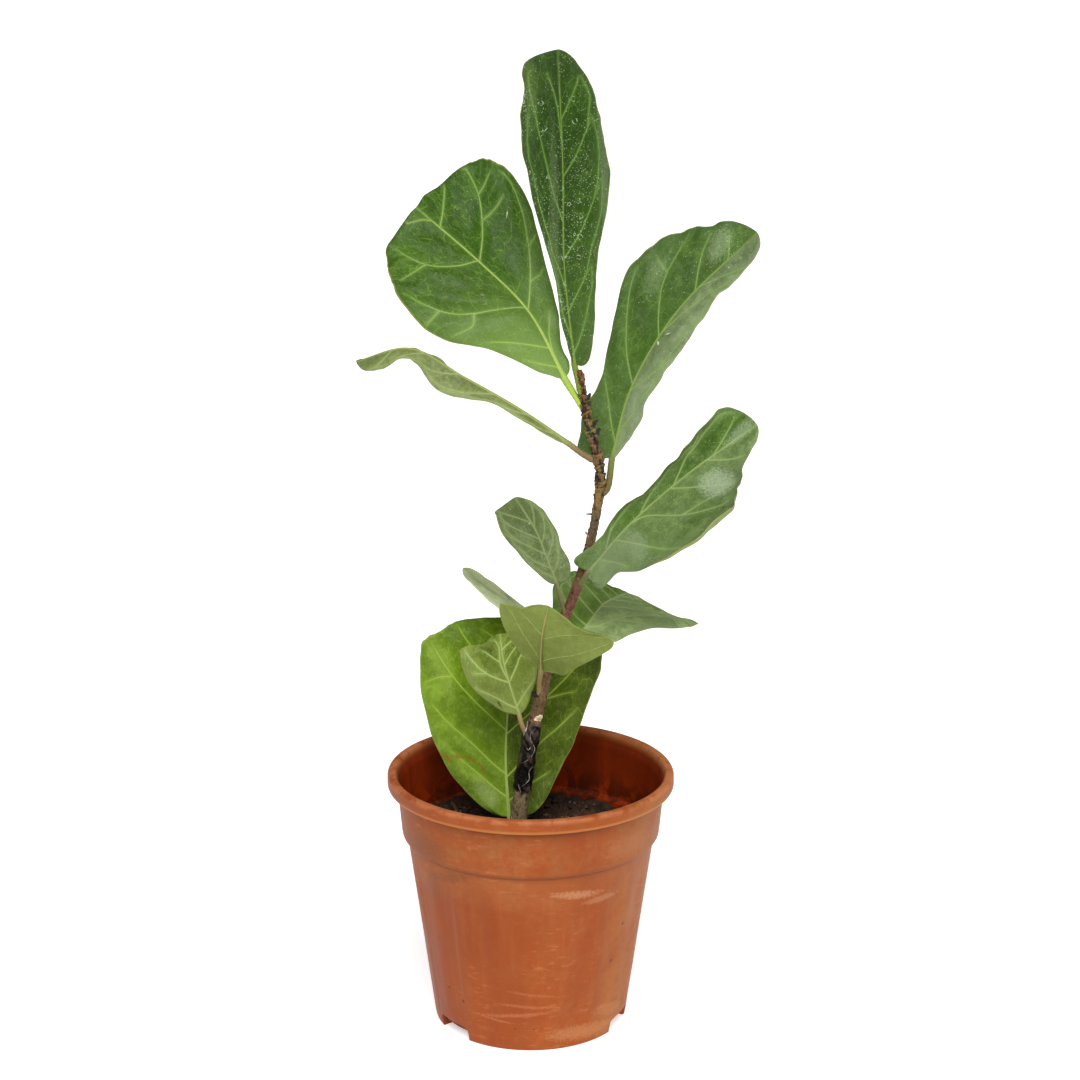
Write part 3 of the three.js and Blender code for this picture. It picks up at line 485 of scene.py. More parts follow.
def ripple(place, seed, longest, shortest, waves=14):
    """A smooth random field from -1 to 1: a mean of sine waves with seeded headings, lengths and phases."""
    draw = np.random.default_rng(seed)
    lengths = longest * (shortest / longest) ** np.linspace(0, 1, waves)
    headings = unit(draw.normal(size=(waves, place.shape[-1])))
    phases = draw.random(waves) * 2 * math.pi
    weights = lengths**0.8
    field = sum(w * np.sin(place @ h * 2 * math.pi / s + p)
                for w, h, s, p in zip(weights, headings, lengths, phases))
    return field / np.sqrt((weights**2).sum() * 2)


# ================================================================ meshes


class Form:
    """A surface on its way into a mesh: points, quads whose corners may repeat, and values at points."""

    def __init__(self, points, faces, **values):
        self.points = points
        self.faces = faces
        self.values = values


def closed_form(rings, **values):
    """Closes a stack of rings of points: quads between the rings and a fan to the middle at both ends.

    rings is rings x sides x 3. Seen from outside, the sides run to the right as the rings go up.
    """
    count, sides = rings.shape[:2]
    near = np.arange(count * sides).reshape(count, sides)
    turned = np.roll(near, -1, axis=1)
    quads = np.stack([near[:-1], turned[:-1], turned[1:], near[1:]], -1).reshape(-1, 4)
    first, last = count * sides, count * sides + 1
    foot = np.stack([turned[0], near[0], np.full(sides, first), np.full(sides, first)], -1)
    top = np.stack([near[-1], turned[-1], np.full(sides, last), np.full(sides, last)], -1)
    points = np.vstack([rings.reshape(-1, 3), rings[0].mean(0), rings[-1].mean(0)])
    spread = {}
    for name, value in values.items():
        flat = np.broadcast_to(value, (count, sides)).reshape(-1)
        spread[name] = np.concatenate([flat, [flat[0], flat[-1]]])
    return Form(points, np.vstack([quads, foot, top]), **spread)


def joined(forms):
    """Several forms as one, with the values that they share by name."""
    starts = np.cumsum([0] + [len(form.points) for form in forms[:-1]])
    return Form(
        np.vstack([form.points for form in forms]),
        np.vstack([form.faces + start for form, start in zip(forms, starts)]),
        **{name: np.concatenate([form.values[name] for form in forms]) for name in forms[0].values},
    )


def make_piece(name, form, material, replaces=()):
    """Puts a form into a mesh, with its material, and makes it ride on the plant's one body."""
    faces = form.faces
    keep = np.ones(faces.shape, bool)
    keep[:, 1:] = faces[:, 1:] != faces[:, :-1]
    sizes = keep.sum(1)
    mesh = bpy.data.meshes.new(name)
    mesh.vertices.add(len(form.points))
    mesh.vertices.foreach_set("co", (form.points * MM).astype(np.float32).ravel())
    mesh.loops.add(int(sizes.sum()))
    mesh.loops.foreach_set("vertex_index", faces[keep].astype(np.int32))
    mesh.polygons.add(len(faces))
    mesh.polygons.foreach_set("loop_start", (np.cumsum(sizes) - sizes).astype(np.int32))
    mesh.polygons.foreach_set("use_smooth", np.ones(len(faces), bool))
    mesh.update(calc_edges=True)
    for label, values in form.values.items():
        layer = mesh.attributes.new(label, "FLOAT", "POINT")
        layer.data.foreach_set("value", values.astype(np.float32))
    if mesh.validate():
        raise RuntimeError(f"{name} has faces that are not sound")
    piece = bpy.data.objects.new(name, mesh)
    bpy.context.scene.collection.objects.link(piece)
    mesh.materials.append(material)
    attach(piece, "root")
    if replaces:
        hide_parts(*replaces)
    return piece


def tube_rings(path, radius, sides, upward, wide=None):
    """Rings of points round a path: each ring lies square to the path, and starts on the upward side.

    radius is one number for each ring, or one for each ring and side. wide is the radius across, if the
    rings are oval.
    """
    along = unit(np.gradient(path, axis=0))
    up = unit(upward - (upward * along).sum(-1, keepdims=True) * along)
    across = np.cross(along, up)
    turn = np.linspace(0, 2 * math.pi, sides, endpoint=False)
    radius = np.asarray(radius, float).reshape(len(path), -1)
    wide = radius if wide is None else np.asarray(wide, float).reshape(len(path), -1)
    return (
        path[:, None]
        + up[:, None] * (radius * np.cos(turn))[..., None]
        + across[:, None] * (wide * np.sin(turn))[..., None]
    )


# ================================================================ shader wiring


class Wires:
    """Adds nodes to a node tree and joins them."""

    def __init__(self, tree):
        self.tree = tree

    def node(self, kind, inputs=(), **settings):
        """One node, with its settings, and its inputs set to a number, colour or another node's output."""
        made = self.tree.nodes.new(kind)
        for name, value in settings.items():
            setattr(made, name, value)
        for key, value in dict(inputs).items():
            self.put(made.inputs[key], value)
        return made

    def put(self, socket, value):
        """Joins another node's output to a socket, or sets the socket to a number or colour."""
        if isinstance(value, bpy.types.NodeSocket):
            self.tree.links.new(value, socket)
        elif socket.type == "RGBA" and len(value) == 3:
            socket.default_value = (*value, 1)
        else:
            socket.default_value = value

    def math(self, operation, a, b=0.0, clamp=False):
        """One sum on numbers or other nodes' outputs, as the operation's name says."""
        return self.node("ShaderNodeMath", {0: a, 1: b}, operation=operation, use_clamp=clamp).outputs[0]

    def plus(self, a, b):
        return self.math("ADD", a, b)

    def minus(self, a, b):
        return self.math("SUBTRACT", a, b)

    def times(self, product, *others):
        """The product of numbers and other nodes' outputs."""
        for other in others:
            product = self.math("MULTIPLY", product, other)
        return product

    def mix(self, share, a, b):
        """The colour a where share is 0, and b where it is 1."""
        return self.node("ShaderNodeMix", {0: share, 6: a, 7: b}, data_type="RGBA").outputs[2]

    def over(self, base, color, *masks):
        """Lays a colour over a base, as strongly as the product of the masks."""
        return self.mix(self.times(*masks), base, color)

    def tinted(self, color, strength, saturation=1.0, hue=0.5):
        """A colour made lighter or darker, greyer or stronger, and turned in hue, where 0.5 is no turn."""
        inputs = {"Color": color, "Value": strength, "Saturation": saturation, "Hue": hue}
        return self.node("ShaderNodeHueSaturation", inputs).outputs[0]

    def value(self, name):
        """The value that a piece's mesh keeps at its points under a name."""
        return self.node("ShaderNodeAttribute", attribute_name=name).outputs["Fac"]

    def step(self, value, low, high, start=0.0, end=1.0):
        """Eases from start to end while value goes from low to high."""
        inputs = {"Value": value, "From Min": low, "From Max": high, "To Min": start, "To Max": end}
        return self.node("ShaderNodeMapRange", inputs, interpolation_type="SMOOTHSTEP").outputs[0]

    def vector(self, operation, a, b=(0, 0, 0)):
        """One sum on vectors, as the operation's name says."""
        return self.node("ShaderNodeVectorMath", {0: a, 1: b}, operation=operation).outputs[0]

    def combined(self, x, y, z=0.0):
        return self.node("ShaderNodeCombineXYZ", {0: x, 1: y, 2: z}).outputs[0]

    def noise(self, vector, scale, detail=4.0, roughness=0.55, distortion=0.0):
        inputs = {"Vector": vector, "Scale": scale, "Detail": detail, "Roughness": roughness,
                  "Distortion": distortion}
        return self.node("ShaderNodeTexNoise", inputs).outputs[0]

    def voronoi(self, vector, scale, feature="F1", dimensions="3D"):
        made = self.node("ShaderNodeTexVoronoi", feature=feature, voronoi_dimensions=dimensions)
        self.put(made.inputs["Vector"], vector)
        self.put(made.inputs["Scale"], scale)
        return made

    def split(self, vector):
        return self.node("ShaderNodeSeparateXYZ", {0: vector}).outputs

    def ramp(self, factor, stops):
        """Colours along a factor, from a list of (place, colour)."""
        made = self.node("ShaderNodeValToRGB", {0: factor})
        elements = made.color_ramp.elements
        elements[0].position, elements[0].color = stops[0][0], (*stops[0][1], 1)
        elements[1].position, elements[1].color = stops[-1][0], (*stops[-1][1], 1)
        for place, color in stops[1:-1]:
            elements.new(place).color = (*color, 1)
        return made.outputs[0]

    def group(self, tree, **inputs):
        made = self.node("ShaderNodeGroup", node_tree=tree)
        for name, value in inputs.items():
            self.put(made.inputs[name], value)
        return made.outputs


def node_group(name, inputs, outputs, fill):
    """A shader node group, made once: inputs and outputs are names with socket kinds."""
    if name in bpy.data.node_groups:
        return bpy.data.node_groups[name]
    tree = bpy.data.node_groups.new(name, "ShaderNodeTree")
    for label, kind in inputs.items():
        tree.interface.new_socket(name=label, in_out="INPUT", socket_type=kind)
    for label, kind in outputs.items():
        tree.interface.new_socket(name=label, in_out="OUTPUT", socket_type=kind)
    wires = Wires(tree)
    entry = tree.nodes.new("NodeGroupInput")
    end = tree.nodes.new("NodeGroupOutput")
    for label, value in fill(wires, entry.outputs).items():
        wires.put(end.inputs[label], value)
    return tree


VECTOR = "NodeSocketVector"
FLOAT = "NodeSocketFloat"


def net_group():
    """The net of small veins between the laterals, on the blade pressed flat, in mm.

    Ladder lines are the edges of long random cells that lie along the midrib, and the net is the edges of
    small ones. The height is low on the lines and bulges between them.
    """

    def fill(wires, entry):
        bent = wires.node("ShaderNodeTexNoise", {"Vector": entry["Flat place"], "Scale": 0.25}).outputs[1]
        shift = wires.vector("ADD", bent, (-0.5, -0.5, -0.5))
        shift = wires.vector("MULTIPLY", shift, (4.0, 4.0, 0.0))
        flat = wires.vector("ADD", entry["Flat place"], shift)
        long = wires.vector("MULTIPLY", flat, (0.55, 1.5, 1.0))
        ladder = wires.voronoi(long, 0.16, "DISTANCE_TO_EDGE", "2D").outputs["Distance"]
        ladder = wires.step(ladder, 0.0, 0.05, 1.0, 0.0)
        cells = wires.voronoi(flat, 0.6, "DISTANCE_TO_EDGE", "2D").outputs["Distance"]
        net = wires.step(cells, 0.0, 0.1, 1.0, 0.0)
        pores = wires.noise(entry["Flat place"], 2.2, 3.0, 0.6)
        pillow = wires.times(wires.step(cells, 0.0, 0.35), 0.6)
        height = wires.minus(wires.plus(pillow, wires.times(pores, 0.5)), wires.times(ladder, 0.7))
        return {"Ladder": ladder, "Net": net, "Height": height}

    outputs = {"Ladder": FLOAT, "Net": FLOAT, "Height": FLOAT}
    return node_group("net of small veins", {"Flat place": VECTOR}, outputs, fill)


def mark_group():
    """One mark on a blade, such as a scar, a dusty patch or a painted sheen strip: an oval with a ragged
    edge, on the blade pressed flat, in mm.
    """

    def fill(wires, entry):
        off = wires.vector("SUBTRACT", entry["Flat"], entry["Middle"])
        own = wires.node("ShaderNodeVectorRotate", {"Vector": off, "Angle": entry["Turn"]},
                         rotation_type="Z_AXIS").outputs[0]
        squares = []
        for part, half in zip(wires.split(own), (entry["Length"], entry["Width"])):
            away = wires.math("DIVIDE", wires.math("ABSOLUTE", part), half)
            squares.append(wires.math("POWER", away, 2.0))
        far = wires.plus(*squares)
        ragged = wires.noise(entry["Flat"], 0.7, 5.0, 0.75, 0.5)
        far = wires.plus(far, wires.times(wires.minus(ragged, 0.45), 3.4))
        blotched = wires.step(wires.noise(entry["Flat"], 1.6, 4.0, 0.7), 0.36, 0.6, 0.35, 1.0)
        return {"Mark": wires.times(wires.step(far, 1.2, 0.2), blotched)}

    inputs = {"Flat": VECTOR, "Middle": VECTOR, "Length": FLOAT, "Width": FLOAT, "Turn": FLOAT}
    return node_group("mark on a blade", inputs, {"Mark": FLOAT}, fill)


def dust_group():
    """Patchy dust: two sizes of noise, cut so that it lies in soft-edged patches."""

    def fill(wires, entry):
        broad = wires.noise(entry["Place"], entry["Scale"], 5.0, 0.6)
        grain = wires.noise(entry["Place"], wires.times(entry["Scale"], 14.0), 4.0, 0.7)
        patches = wires.step(broad, 0.42, 0.68)
        return {"Dust": wires.times(patches, wires.step(grain, 0.3, 0.7))}

    return node_group("patchy dust", {"Place": VECTOR, "Scale": FLOAT}, {"Dust": FLOAT}, fill)


def speck_group():
    """Scattered specks: the middles of random cells, kept where a slow noise allows, and some rings."""

    def fill(wires, entry):
        place, scale = entry["Place"], entry["Scale"]
        inputs = {"Vector": place, "Scale": wires.times(scale, 2.0)}
        swirl = wires.node("ShaderNodeTexNoise", inputs).outputs[1]
        shift = wires.vector("SUBTRACT", swirl, (0.5, 0.5, 0.5))
        reach = wires.math("DIVIDE", 0.5, scale)
        shift = wires.node("ShaderNodeVectorMath", {0: shift, 3: reach}, operation="SCALE").outputs[0]
        cells = wires.voronoi(wires.vector("ADD", place, shift), scale)
        near = cells.outputs["Distance"]
        dice = wires.split(cells.outputs["Color"])
        crowd = wires.step(wires.noise(place, wires.times(scale, 0.05)), 0.42, 0.6, 0.15, 2.0)
        share = wires.times(entry["Share"], crowd)
        chosen = wires.math("LESS_THAN", dice[0], share)
        dot = wires.times(wires.step(near, 0.1, 0.28, 1.0, 0.0), chosen)
        rim = wires.math("ABSOLUTE", wires.minus(near, 0.34))
        ringed = wires.math("LESS_THAN", dice[1], wires.times(share, 0.4))
        ring = wires.times(wires.step(rim, 0.02, 0.06, 1.0, 0.0), ringed)
        broken = wires.step(wires.noise(place, wires.times(scale, 2.0)), 0.45, 0.6)
        return {"Specks": dot, "Rings": wires.times(ring, broken)}

    inputs = {"Place": VECTOR, "Scale": FLOAT, "Share": FLOAT}
    return node_group("specks", inputs, {"Specks": FLOAT, "Rings": FLOAT}, fill)


def grain_group():
    """Woody grain: noise drawn out along Z, with fine cracks where a second noise crosses its middle."""

    def fill(wires, entry):
        drawn = wires.vector("MULTIPLY", entry["Place"], (1.0, 1.0, 0.22))
        ridges = wires.noise(drawn, entry["Scale"], 6.0, 0.65, 0.6)
        second = wires.noise(drawn, wires.times(entry["Scale"], 0.7), 3.0, 0.6, 1.5)
        crossing = wires.math("ABSOLUTE", wires.minus(second, 0.5))
        cracks = wires.step(crossing, 0.0, 0.03, 1.0, 0.0)
        height = wires.minus(ridges, wires.times(cracks, 0.5))
        return {"Ridges": ridges, "Cracks": cracks, "Height": height}

    outputs = {"Ridges": FLOAT, "Cracks": FLOAT, "Height": FLOAT}
    return node_group("woody grain", {"Place": VECTOR, "Scale": FLOAT}, outputs, fill)


def new_material(name):
    """A material with its wires, its shader and the piece's own place."""
    material = bpy.data.materials.new(name)
    material.use_nodes = True
    wires = Wires(material.node_tree)
    shader = material.node_tree.nodes["Principled BSDF"]
    place = wires.node("ShaderNodeTexCoord").outputs["Object"]
    return material, wires, shader, place


def dress(wires, shader, color, roughness, height, strength, distance, specular=0.5):
    """Feeds the shader its colour and roughness, and a height as a bump. distance is in metres."""
    made = wires.node("ShaderNodeBump", {"Height": height, "Strength": strength, "Distance": distance})
    inputs = {"Base Color": color, "Roughness": roughness, "Normal": made.outputs["Normal"],
              "Specular IOR Level": specular}
    for name, value in inputs.items():
        wires.put(shader.inputs[name], value)


# ================================================================ pot


def pot_lines(spread, grown):
    """Directions, from +X, of the lines that run up the pot, and how high each is lifted by a channel.

    In a channel the lines keep their distance from its middle line, so at a radius of spread their angle
    is the arcsine of that distance over spread. Between channels they are evenly spaced. The roof is
    level with rounded corners.
    """
    half = CHANNEL_HALF + grown
    right = np.array([0.25, 0.5, 0.76, 0.86, 0.94, 0.985, 1, 1.012])
    across = np.concatenate([-right[::-1], [0], right]) * half
    corner = np.clip((np.abs(across) - (half - CHANNEL_BEVEL)) / CHANNEL_BEVEL, 0, 1)
    lift = CHANNEL_HEIGHT + grown - CHANNEL_BEVEL * (1 - np.sqrt(1 - corner**2))
    lift[[0, -1]] = grown
    edge = math.asin(half / spread)
    turns, lifts = [], []
    between = np.linspace(0, 1, 50)[1:-1]
    for i in range(CHANNEL_COUNT):
        middle = math.radians(CHANNEL_TURN + i * 360 / CHANNEL_COUNT)
        gap = 2 * math.pi / CHANNEL_COUNT - 2 * edge
        turns += [middle + np.arcsin(across / spread), middle + edge + between * gap]
        lifts += [lift, np.full(len(between), float(grown))]
    return np.concatenate(turns), np.concatenate(lifts)


def pot_profile():
    """The pot's outline above its foot, as radius, height and whether it is inside, from the outer wall up
    over the lip and down the inside. Corners are rounded by quadratic curves.
    """
    slope = (SHOULDER_RADIUS - FOOT_RADIUS) / SHOULDER_HEIGHT
    collar = (COLLAR_TOP_RADIUS - COLLAR_FOOT_RADIUS) / (NECK_HEIGHT - SHOULDER_HEIGHT)
    inner_shoulder = SHOULDER_RADIUS - slope - WALL
    floor_wall = FOOT_RADIUS + slope * WALL - WALL
    corners = [
        (SHOULDER_RADIUS, SHOULDER_HEIGHT, 0.5), (COLLAR_FOOT_RADIUS - 0.5, SHOULDER_HEIGHT + 1.3, 0.8),
        (COLLAR_FOOT_RADIUS + 0.1, SHOULDER_HEIGHT + SHOULDER_RISE, 1.0),
        (COLLAR_TOP_RADIUS, NECK_HEIGHT, 1.2), (LIP_RADIUS, NECK_HEIGHT, 1.9),
        (LIP_RADIUS, POT_HEIGHT, 2.6), (MOUTH_RADIUS, POT_HEIGHT, 1.2),
        (MOUTH_RADIUS - 1.3, POT_HEIGHT - LIP_BEVEL, 1.0),
        (COLLAR_TOP_RADIUS - WALL, NECK_HEIGHT, 1.5),
        (COLLAR_FOOT_RADIUS - WALL + collar, SHOULDER_HEIGHT + 1, 0.6),
        (inner_shoulder, SHOULDER_HEIGHT - 1, 0.8),
    ]
    start = np.array([FOOT_RADIUS + slope * FOOT_BEVEL, FOOT_BEVEL])
    end = np.array([floor_wall, WALL + 2 * FOOT_BEVEL])
    points = [start]
    stops = [start] + [np.array(c[:2]) for c in corners] + [end]
    for before, (radius, height, reach), after in zip(stops[:-2], corners, stops[2:]):
        corner = np.array([radius, height])
        a = corner + unit(before - corner) * min(reach, np.linalg.norm(before - corner) * 0.5)
        b = corner + unit(after - corner) * min(reach, np.linalg.norm(after - corner) * 0.5)
        f = np.linspace(0, 1, 7)[:, None]
        points.append((1 - f) ** 2 * a + 2 * f * (1 - f) * corner + f**2 * b)
    points = np.vstack(points + [end])
    dense = [points[:1]]
    for a, b in zip(points[:-1], points[1:]):
        steps = max(1, int(np.linalg.norm(b - a) / 3))
        dense.append(a + (b - a) * np.linspace(0, 1, steps + 1)[1:, None])
    return np.vstack(dense)


def pot_form(flute_depth):
    """The pot as one closed stack of rings: out along the underside, up the wall, over the lip and back
    down the inside to the middle of its floor.
    """
    wall_turns, wall_lifts = pot_lines(FOOT_RADIUS, 0)
    inner_turns, inner_lifts = pot_lines(FOOT_RADIUS - WALL, WALL)
    rings, inside = [], []

    def add(radius, height, turns, within):
        rings.append(ring(radius, height, turns))
        inside.append(within)

    def spread_lines(radius, grown):
        return pot_lines(max(radius, CHANNEL_INNER_END), grown)[0]

    slope = (SHOULDER_RADIUS - FOOT_RADIUS) / SHOULDER_HEIGHT
    for radius in UNDER_RADII:
        add(radius, 0.0, spread_lines(radius, 0), 0)
    for radius in CHANNEL_RADII:
        add(radius, wall_lifts, spread_lines(radius, 0), 0)
    for share in (0, 0.4, 0.75, 1):
        bevel = FOOT_BEVEL * (1 - math.cos(share * math.pi / 2))
        reach = FOOT_RADIUS - FOOT_BEVEL * (1 - math.sin(share * math.pi / 2))
        level = np.where(wall_lifts > 0, wall_lifts + 0.3 * share, bevel)
        add(reach + slope * wall_lifts, level, wall_turns, 0)
    profile = pot_profile()
    flute = 0
    for i in range(FLUTE_COUNT):
        off = wall_turns - math.radians(FLUTE_TURN + i * 360 / FLUTE_COUNT)
        off = np.arctan2(np.sin(off), np.cos(off)) * FOOT_RADIUS
        flute = flute + 1 - smooth((np.abs(off) - FLUTE_HALF) / FLUTE_EDGE)
    top = int(np.argmax(profile[:, 1]))
    for i, (radius, height) in enumerate(profile[1:], 1):
        outer = i < top and height < SHOULDER_HEIGHT - 2
        if outer:
            share = (height - FOOT_BEVEL) / (SHOULDER_HEIGHT - FOOT_BEVEL)
            low = np.maximum(wall_lifts + 0.3, FOOT_BEVEL)
            level = low + (SHOULDER_HEIGHT - low) * share
            fade = smooth(share * 8) * smooth((1 - share) * 5)
            wall = FOOT_RADIUS + slope * level - flute_depth / MM * flute * fade
            add(wall, level, wall_turns, 0)
        else:
            add(radius, height, wall_turns, float(i >= top))
    floor_wall = profile[-1][0]
    for share in (0.5, 1):
        level = np.maximum(inner_lifts, WALL + 2 * FOOT_BEVEL * (1 - share))
        add(floor_wall - 2 * FOOT_BEVEL * share, level, inner_turns, 1)
    for radius in FLOOR_RADII:
        add(radius, inner_lifts, spread_lines(radius, WALL), 1)
    for radius in FLOOR_MIDDLE_RADII:
        add(radius, WALL, spread_lines(radius, WALL), 1)
    rings = np.array(rings)
    wobble = ripple(rings, 5, 90, 40, 6)[..., None] * WALL_WOBBLE
    outward = unit(rings * np.array([1, 1, 0]))
    lift = smooth((rings[..., 2:] - 12) / 20)
    return closed_form(rings + outward * wobble * lift, inside=np.array(inside)[:, None])


def pot_material(settings):
    """Moulded plastic with upright bands and streaks, a paler belt, dust, scuffs and a soiled inside, and
    painted light: a paler right side, highlights on the lip, shade under it, in the crease and low inside.
    """
    material, wires, shader, place = new_material("terracotta coloured plastic")
    inside = wires.value("inside")
    x, y, z = wires.split(place)

    def belt(low, full, fade, high):
        """1 from full up to fade, and eased to 0 at low and at high. Heights are in metres."""
        return wires.times(wires.step(z, low, full), wires.step(z, high, fade))

    round_place = wires.vector("NORMALIZE", wires.vector("MULTIPLY", place, (1.0, 1.0, 0.0)))
    round_x, round_y, _ = wires.split(round_place)
    rolled = wires.combined(round_x, round_y, wires.times(z, 1.6))
    bands = wires.noise(rolled, 5.5, 2.0, 0.5)
    streaks = wires.noise(rolled, 13.0, 4.0, 0.6)
    dust = wires.group(dust_group(), Place=place, Scale=16.0)["Dust"]
    clouds = wires.noise(place, 14.0, 5.0, 0.62, 0.5)
    grime = wires.noise(place, 70.0, 5.0, 0.65, 0.8)
    flecks = wires.group(speck_group(), Place=place, Scale=150.0, Share=0.012)["Specks"]
    fine = wires.noise(place, 900.0, 2.0)

    body = wires.mix(wires.step(clouds, 0.34, 0.66), tuple(settings.shadow_color), tuple(settings.color))
    body = wires.over(body, shade(138, 65, 23), wires.step(bands, 0.42, 0.6), 0.5)
    edge = wires.plus(z, wires.times(grime, 0.012))
    paler = wires.times(wires.step(edge, 0.096, 0.105), wires.step(z, 0.113, 0.12, 0.5, 0.12))
    body = wires.over(body, shade(149, 84, 43), paler, wires.step(clouds, 0.36, 0.62, 0.35, 1.0))
    body = wires.over(body, shade(182, 108, 60), wires.step(streaks, 0.5, 0.68), 0.07)
    lengthwise = wires.noise(wires.vector("MULTIPLY", place, (0.25, 0.25, 1.0)), 420.0, 3.0, 0.6)
    for color, *masks in (
        ((186, 118, 76), wires.step(lengthwise, 0.56, 0.7), wires.step(clouds, 0.42, 0.6, 0.0, 0.3)),
        # Partly dust and partly painted light: the pot's right side is painted paler, as if lit from the
        # right.
        ((156, 98, 48), wires.step(round_x, 0.5, 0.85), wires.step(grime, 0.3, 0.6, 0.2, 0.6)),
        ((134, 82, 40), wires.step(grime, 0.46, 0.66), wires.step(z, 0.085, 0.125, 0.12, 0.5)),
        ((184, 134, 88), dust, settings.dust),
    ):
        body = wires.over(body, shade(*color), *masks)
    front = wires.combined(wires.times(x, 1000.0), wires.times(z, 1000.0))
    before = wires.math("LESS_THAN", y, 0.0)
    for middle, long, wide, turn, strength, color in POT_MARKS:
        mark = wires.group(mark_group(), Flat=front, Middle=(*middle, 0), Length=long, Width=wide,
                           Turn=math.radians(turn))["Mark"]
        body = wires.over(body, shade(*color), mark, before, strength)
    # The lip's lower edge as a painted highlight, the gap under it as painted shadow and grime, the worn
    # rim with a painted highlight, painted shade in the crease at the collar's foot, and flecks.
    for color, *masks in (
        ((190, 122, 60), belt(0.1462, 0.1472, 0.1478, 0.1492), 0.45),
        ((64, 34, 18), belt(0.1425, 0.1455, 0.1462, 0.1466), 0.6),
        ((206, 128, 88), wires.step(z, 0.1515, 0.1545), wires.step(grime, 0.35, 0.6), 0.4),
        ((96, 50, 24), belt(0.1138, 0.1155, 0.1165, 0.1195), 0.4),
        ((58, 34, 24), flecks, 0.8),
    ):
        body = wires.over(body, shade(*color), *masks)
    # Darker low down inside, towards the soil: partly soil stains and partly painted shade.
    soiled_and_shaded = wires.times(wires.step(z, 0.14, 0.112, 0.15, 1.0), wires.step(grime, 0.44, 0.6))
    lining = wires.over(tuple(settings.inner_color), shade(92, 30, 8), wires.step(bands, 0.4, 0.62), 0.5)
    lining = wires.over(lining, shade(36, 13, 6), soiled_and_shaded, 0.8)
    within = wires.times(inside, wires.step(z, 0.1535, 0.1495))
    rough = wires.plus(wires.step(clouds, 0.2, 0.8, 0.42, 0.6), wires.times(dust, 0.2))
    wet = wires.step(grime, 0.4, 0.6, 0.28, 0.5)
    rough = wires.plus(wires.times(wires.minus(1.0, within), rough), wires.times(within, wet))
    height = wires.plus(wires.times(grime, 0.5), wires.times(fine, 0.2))
    dress(wires, shader, wires.mix(within, body, lining), rough, height, 0.2, 0.0004, 0.15)
    return material


class FigPotSettings(bpy.types.PropertyGroup):
    color: FloatVectorProperty(
        name="Colour", description="The moulded plastic's own colour", subtype="COLOR",
        size=3, min=0, max=1, default=shade(144, 67, 22))
    shadow_color: FloatVectorProperty(
        name="Darker colour", description="Colour of the darker clouds in the plastic", subtype="COLOR",
        size=3, min=0, max=1, default=shade(132, 59, 17))
    inner_color: FloatVectorProperty(
        name="Inner colour", description="Colour of the damp inner wall", subtype="COLOR",
        size=3, min=0, max=1, default=shade(134, 43, 7))
    dust: FloatProperty(
        name="Dust", description="How much the dry dust covers in its patches", subtype="FACTOR",
        min=0, max=1, default=0.14)
    flute_depth: FloatProperty(
        name="Flute depth", description="Depth of the faint upright flutes in the wall", unit="LENGTH",
        min=0, max=0.001, default=0.0005, precision=5)


class FIG_OT_pot(bpy.types.Operator):
    """Builds the pot with its collar, rolled lip, flutes and drain channels"""

    bl_idname = "fig.pot"
    bl_label = "Pot"

    def execute(self, context):
        settings = context.scene.fig_pot
        pot = make_piece("pot_shell", pot_form(settings.flute_depth), pot_material(settings),
                         ["pot"])
        drill_drains(pot)
        return {"FINISHED"}


def drill_drains(pot):
    """Cuts the drain holes, which are upright cylinders, through the channels' roofs."""
    turns = np.radians(CHANNEL_TURN + np.arange(CHANNEL_COUNT) * 360 / CHANNEL_COUNT)
    holes = []
    for turn in turns:
        middle = np.array([DRAIN_PLACE * math.cos(turn), DRAIN_PLACE * math.sin(turn)])
        path = np.column_stack([np.tile(middle, (2, 1)), [CHANNEL_HEIGHT - 3, CHANNEL_HEIGHT + WALL + 3]])
        rings = tube_rings(path, [DRAIN_RADIUS] * 2, DRAIN_SIDES, np.array([[1.0, 0, 0]] * 2))
        holes.append(closed_form(rings))
    drill = make_piece("drill", joined(holes), pot.data.materials[0])
    cut = pot.modifiers.new("drains", "BOOLEAN")
    cut.operation = "DIFFERENCE"
    cut.object = drill
    cut.solver = "EXACT"
    depsgraph = bpy.context.evaluated_depsgraph_get()
    carved = bpy.data.meshes.new_from_object(pot.evaluated_get(depsgraph))
    carved.set_sharp_from_angle(angle=math.radians(SHARP_ANGLE))
    pot.modifiers.clear()
    old = pot.data
    pot.data = carved
    bpy.data.meshes.remove(old)
    bpy.data.objects.remove(drill)


# ================================================================ soil


def soil_top(x, y):
    """The height of the soil's lumpy top: a gentle tilt and three slow waves."""
    lumps = np.sin(x * 0.21 + 1.3) * np.cos(y * 0.17 - 0.4) + 0.6 * np.sin(x * 0.47 - y * 0.39)
    return SOIL_LEVEL - SOIL_TILT * x + SOIL_LUMP * (lumps + 0.4 * np.cos(x * 0.83 + y * 0.71))


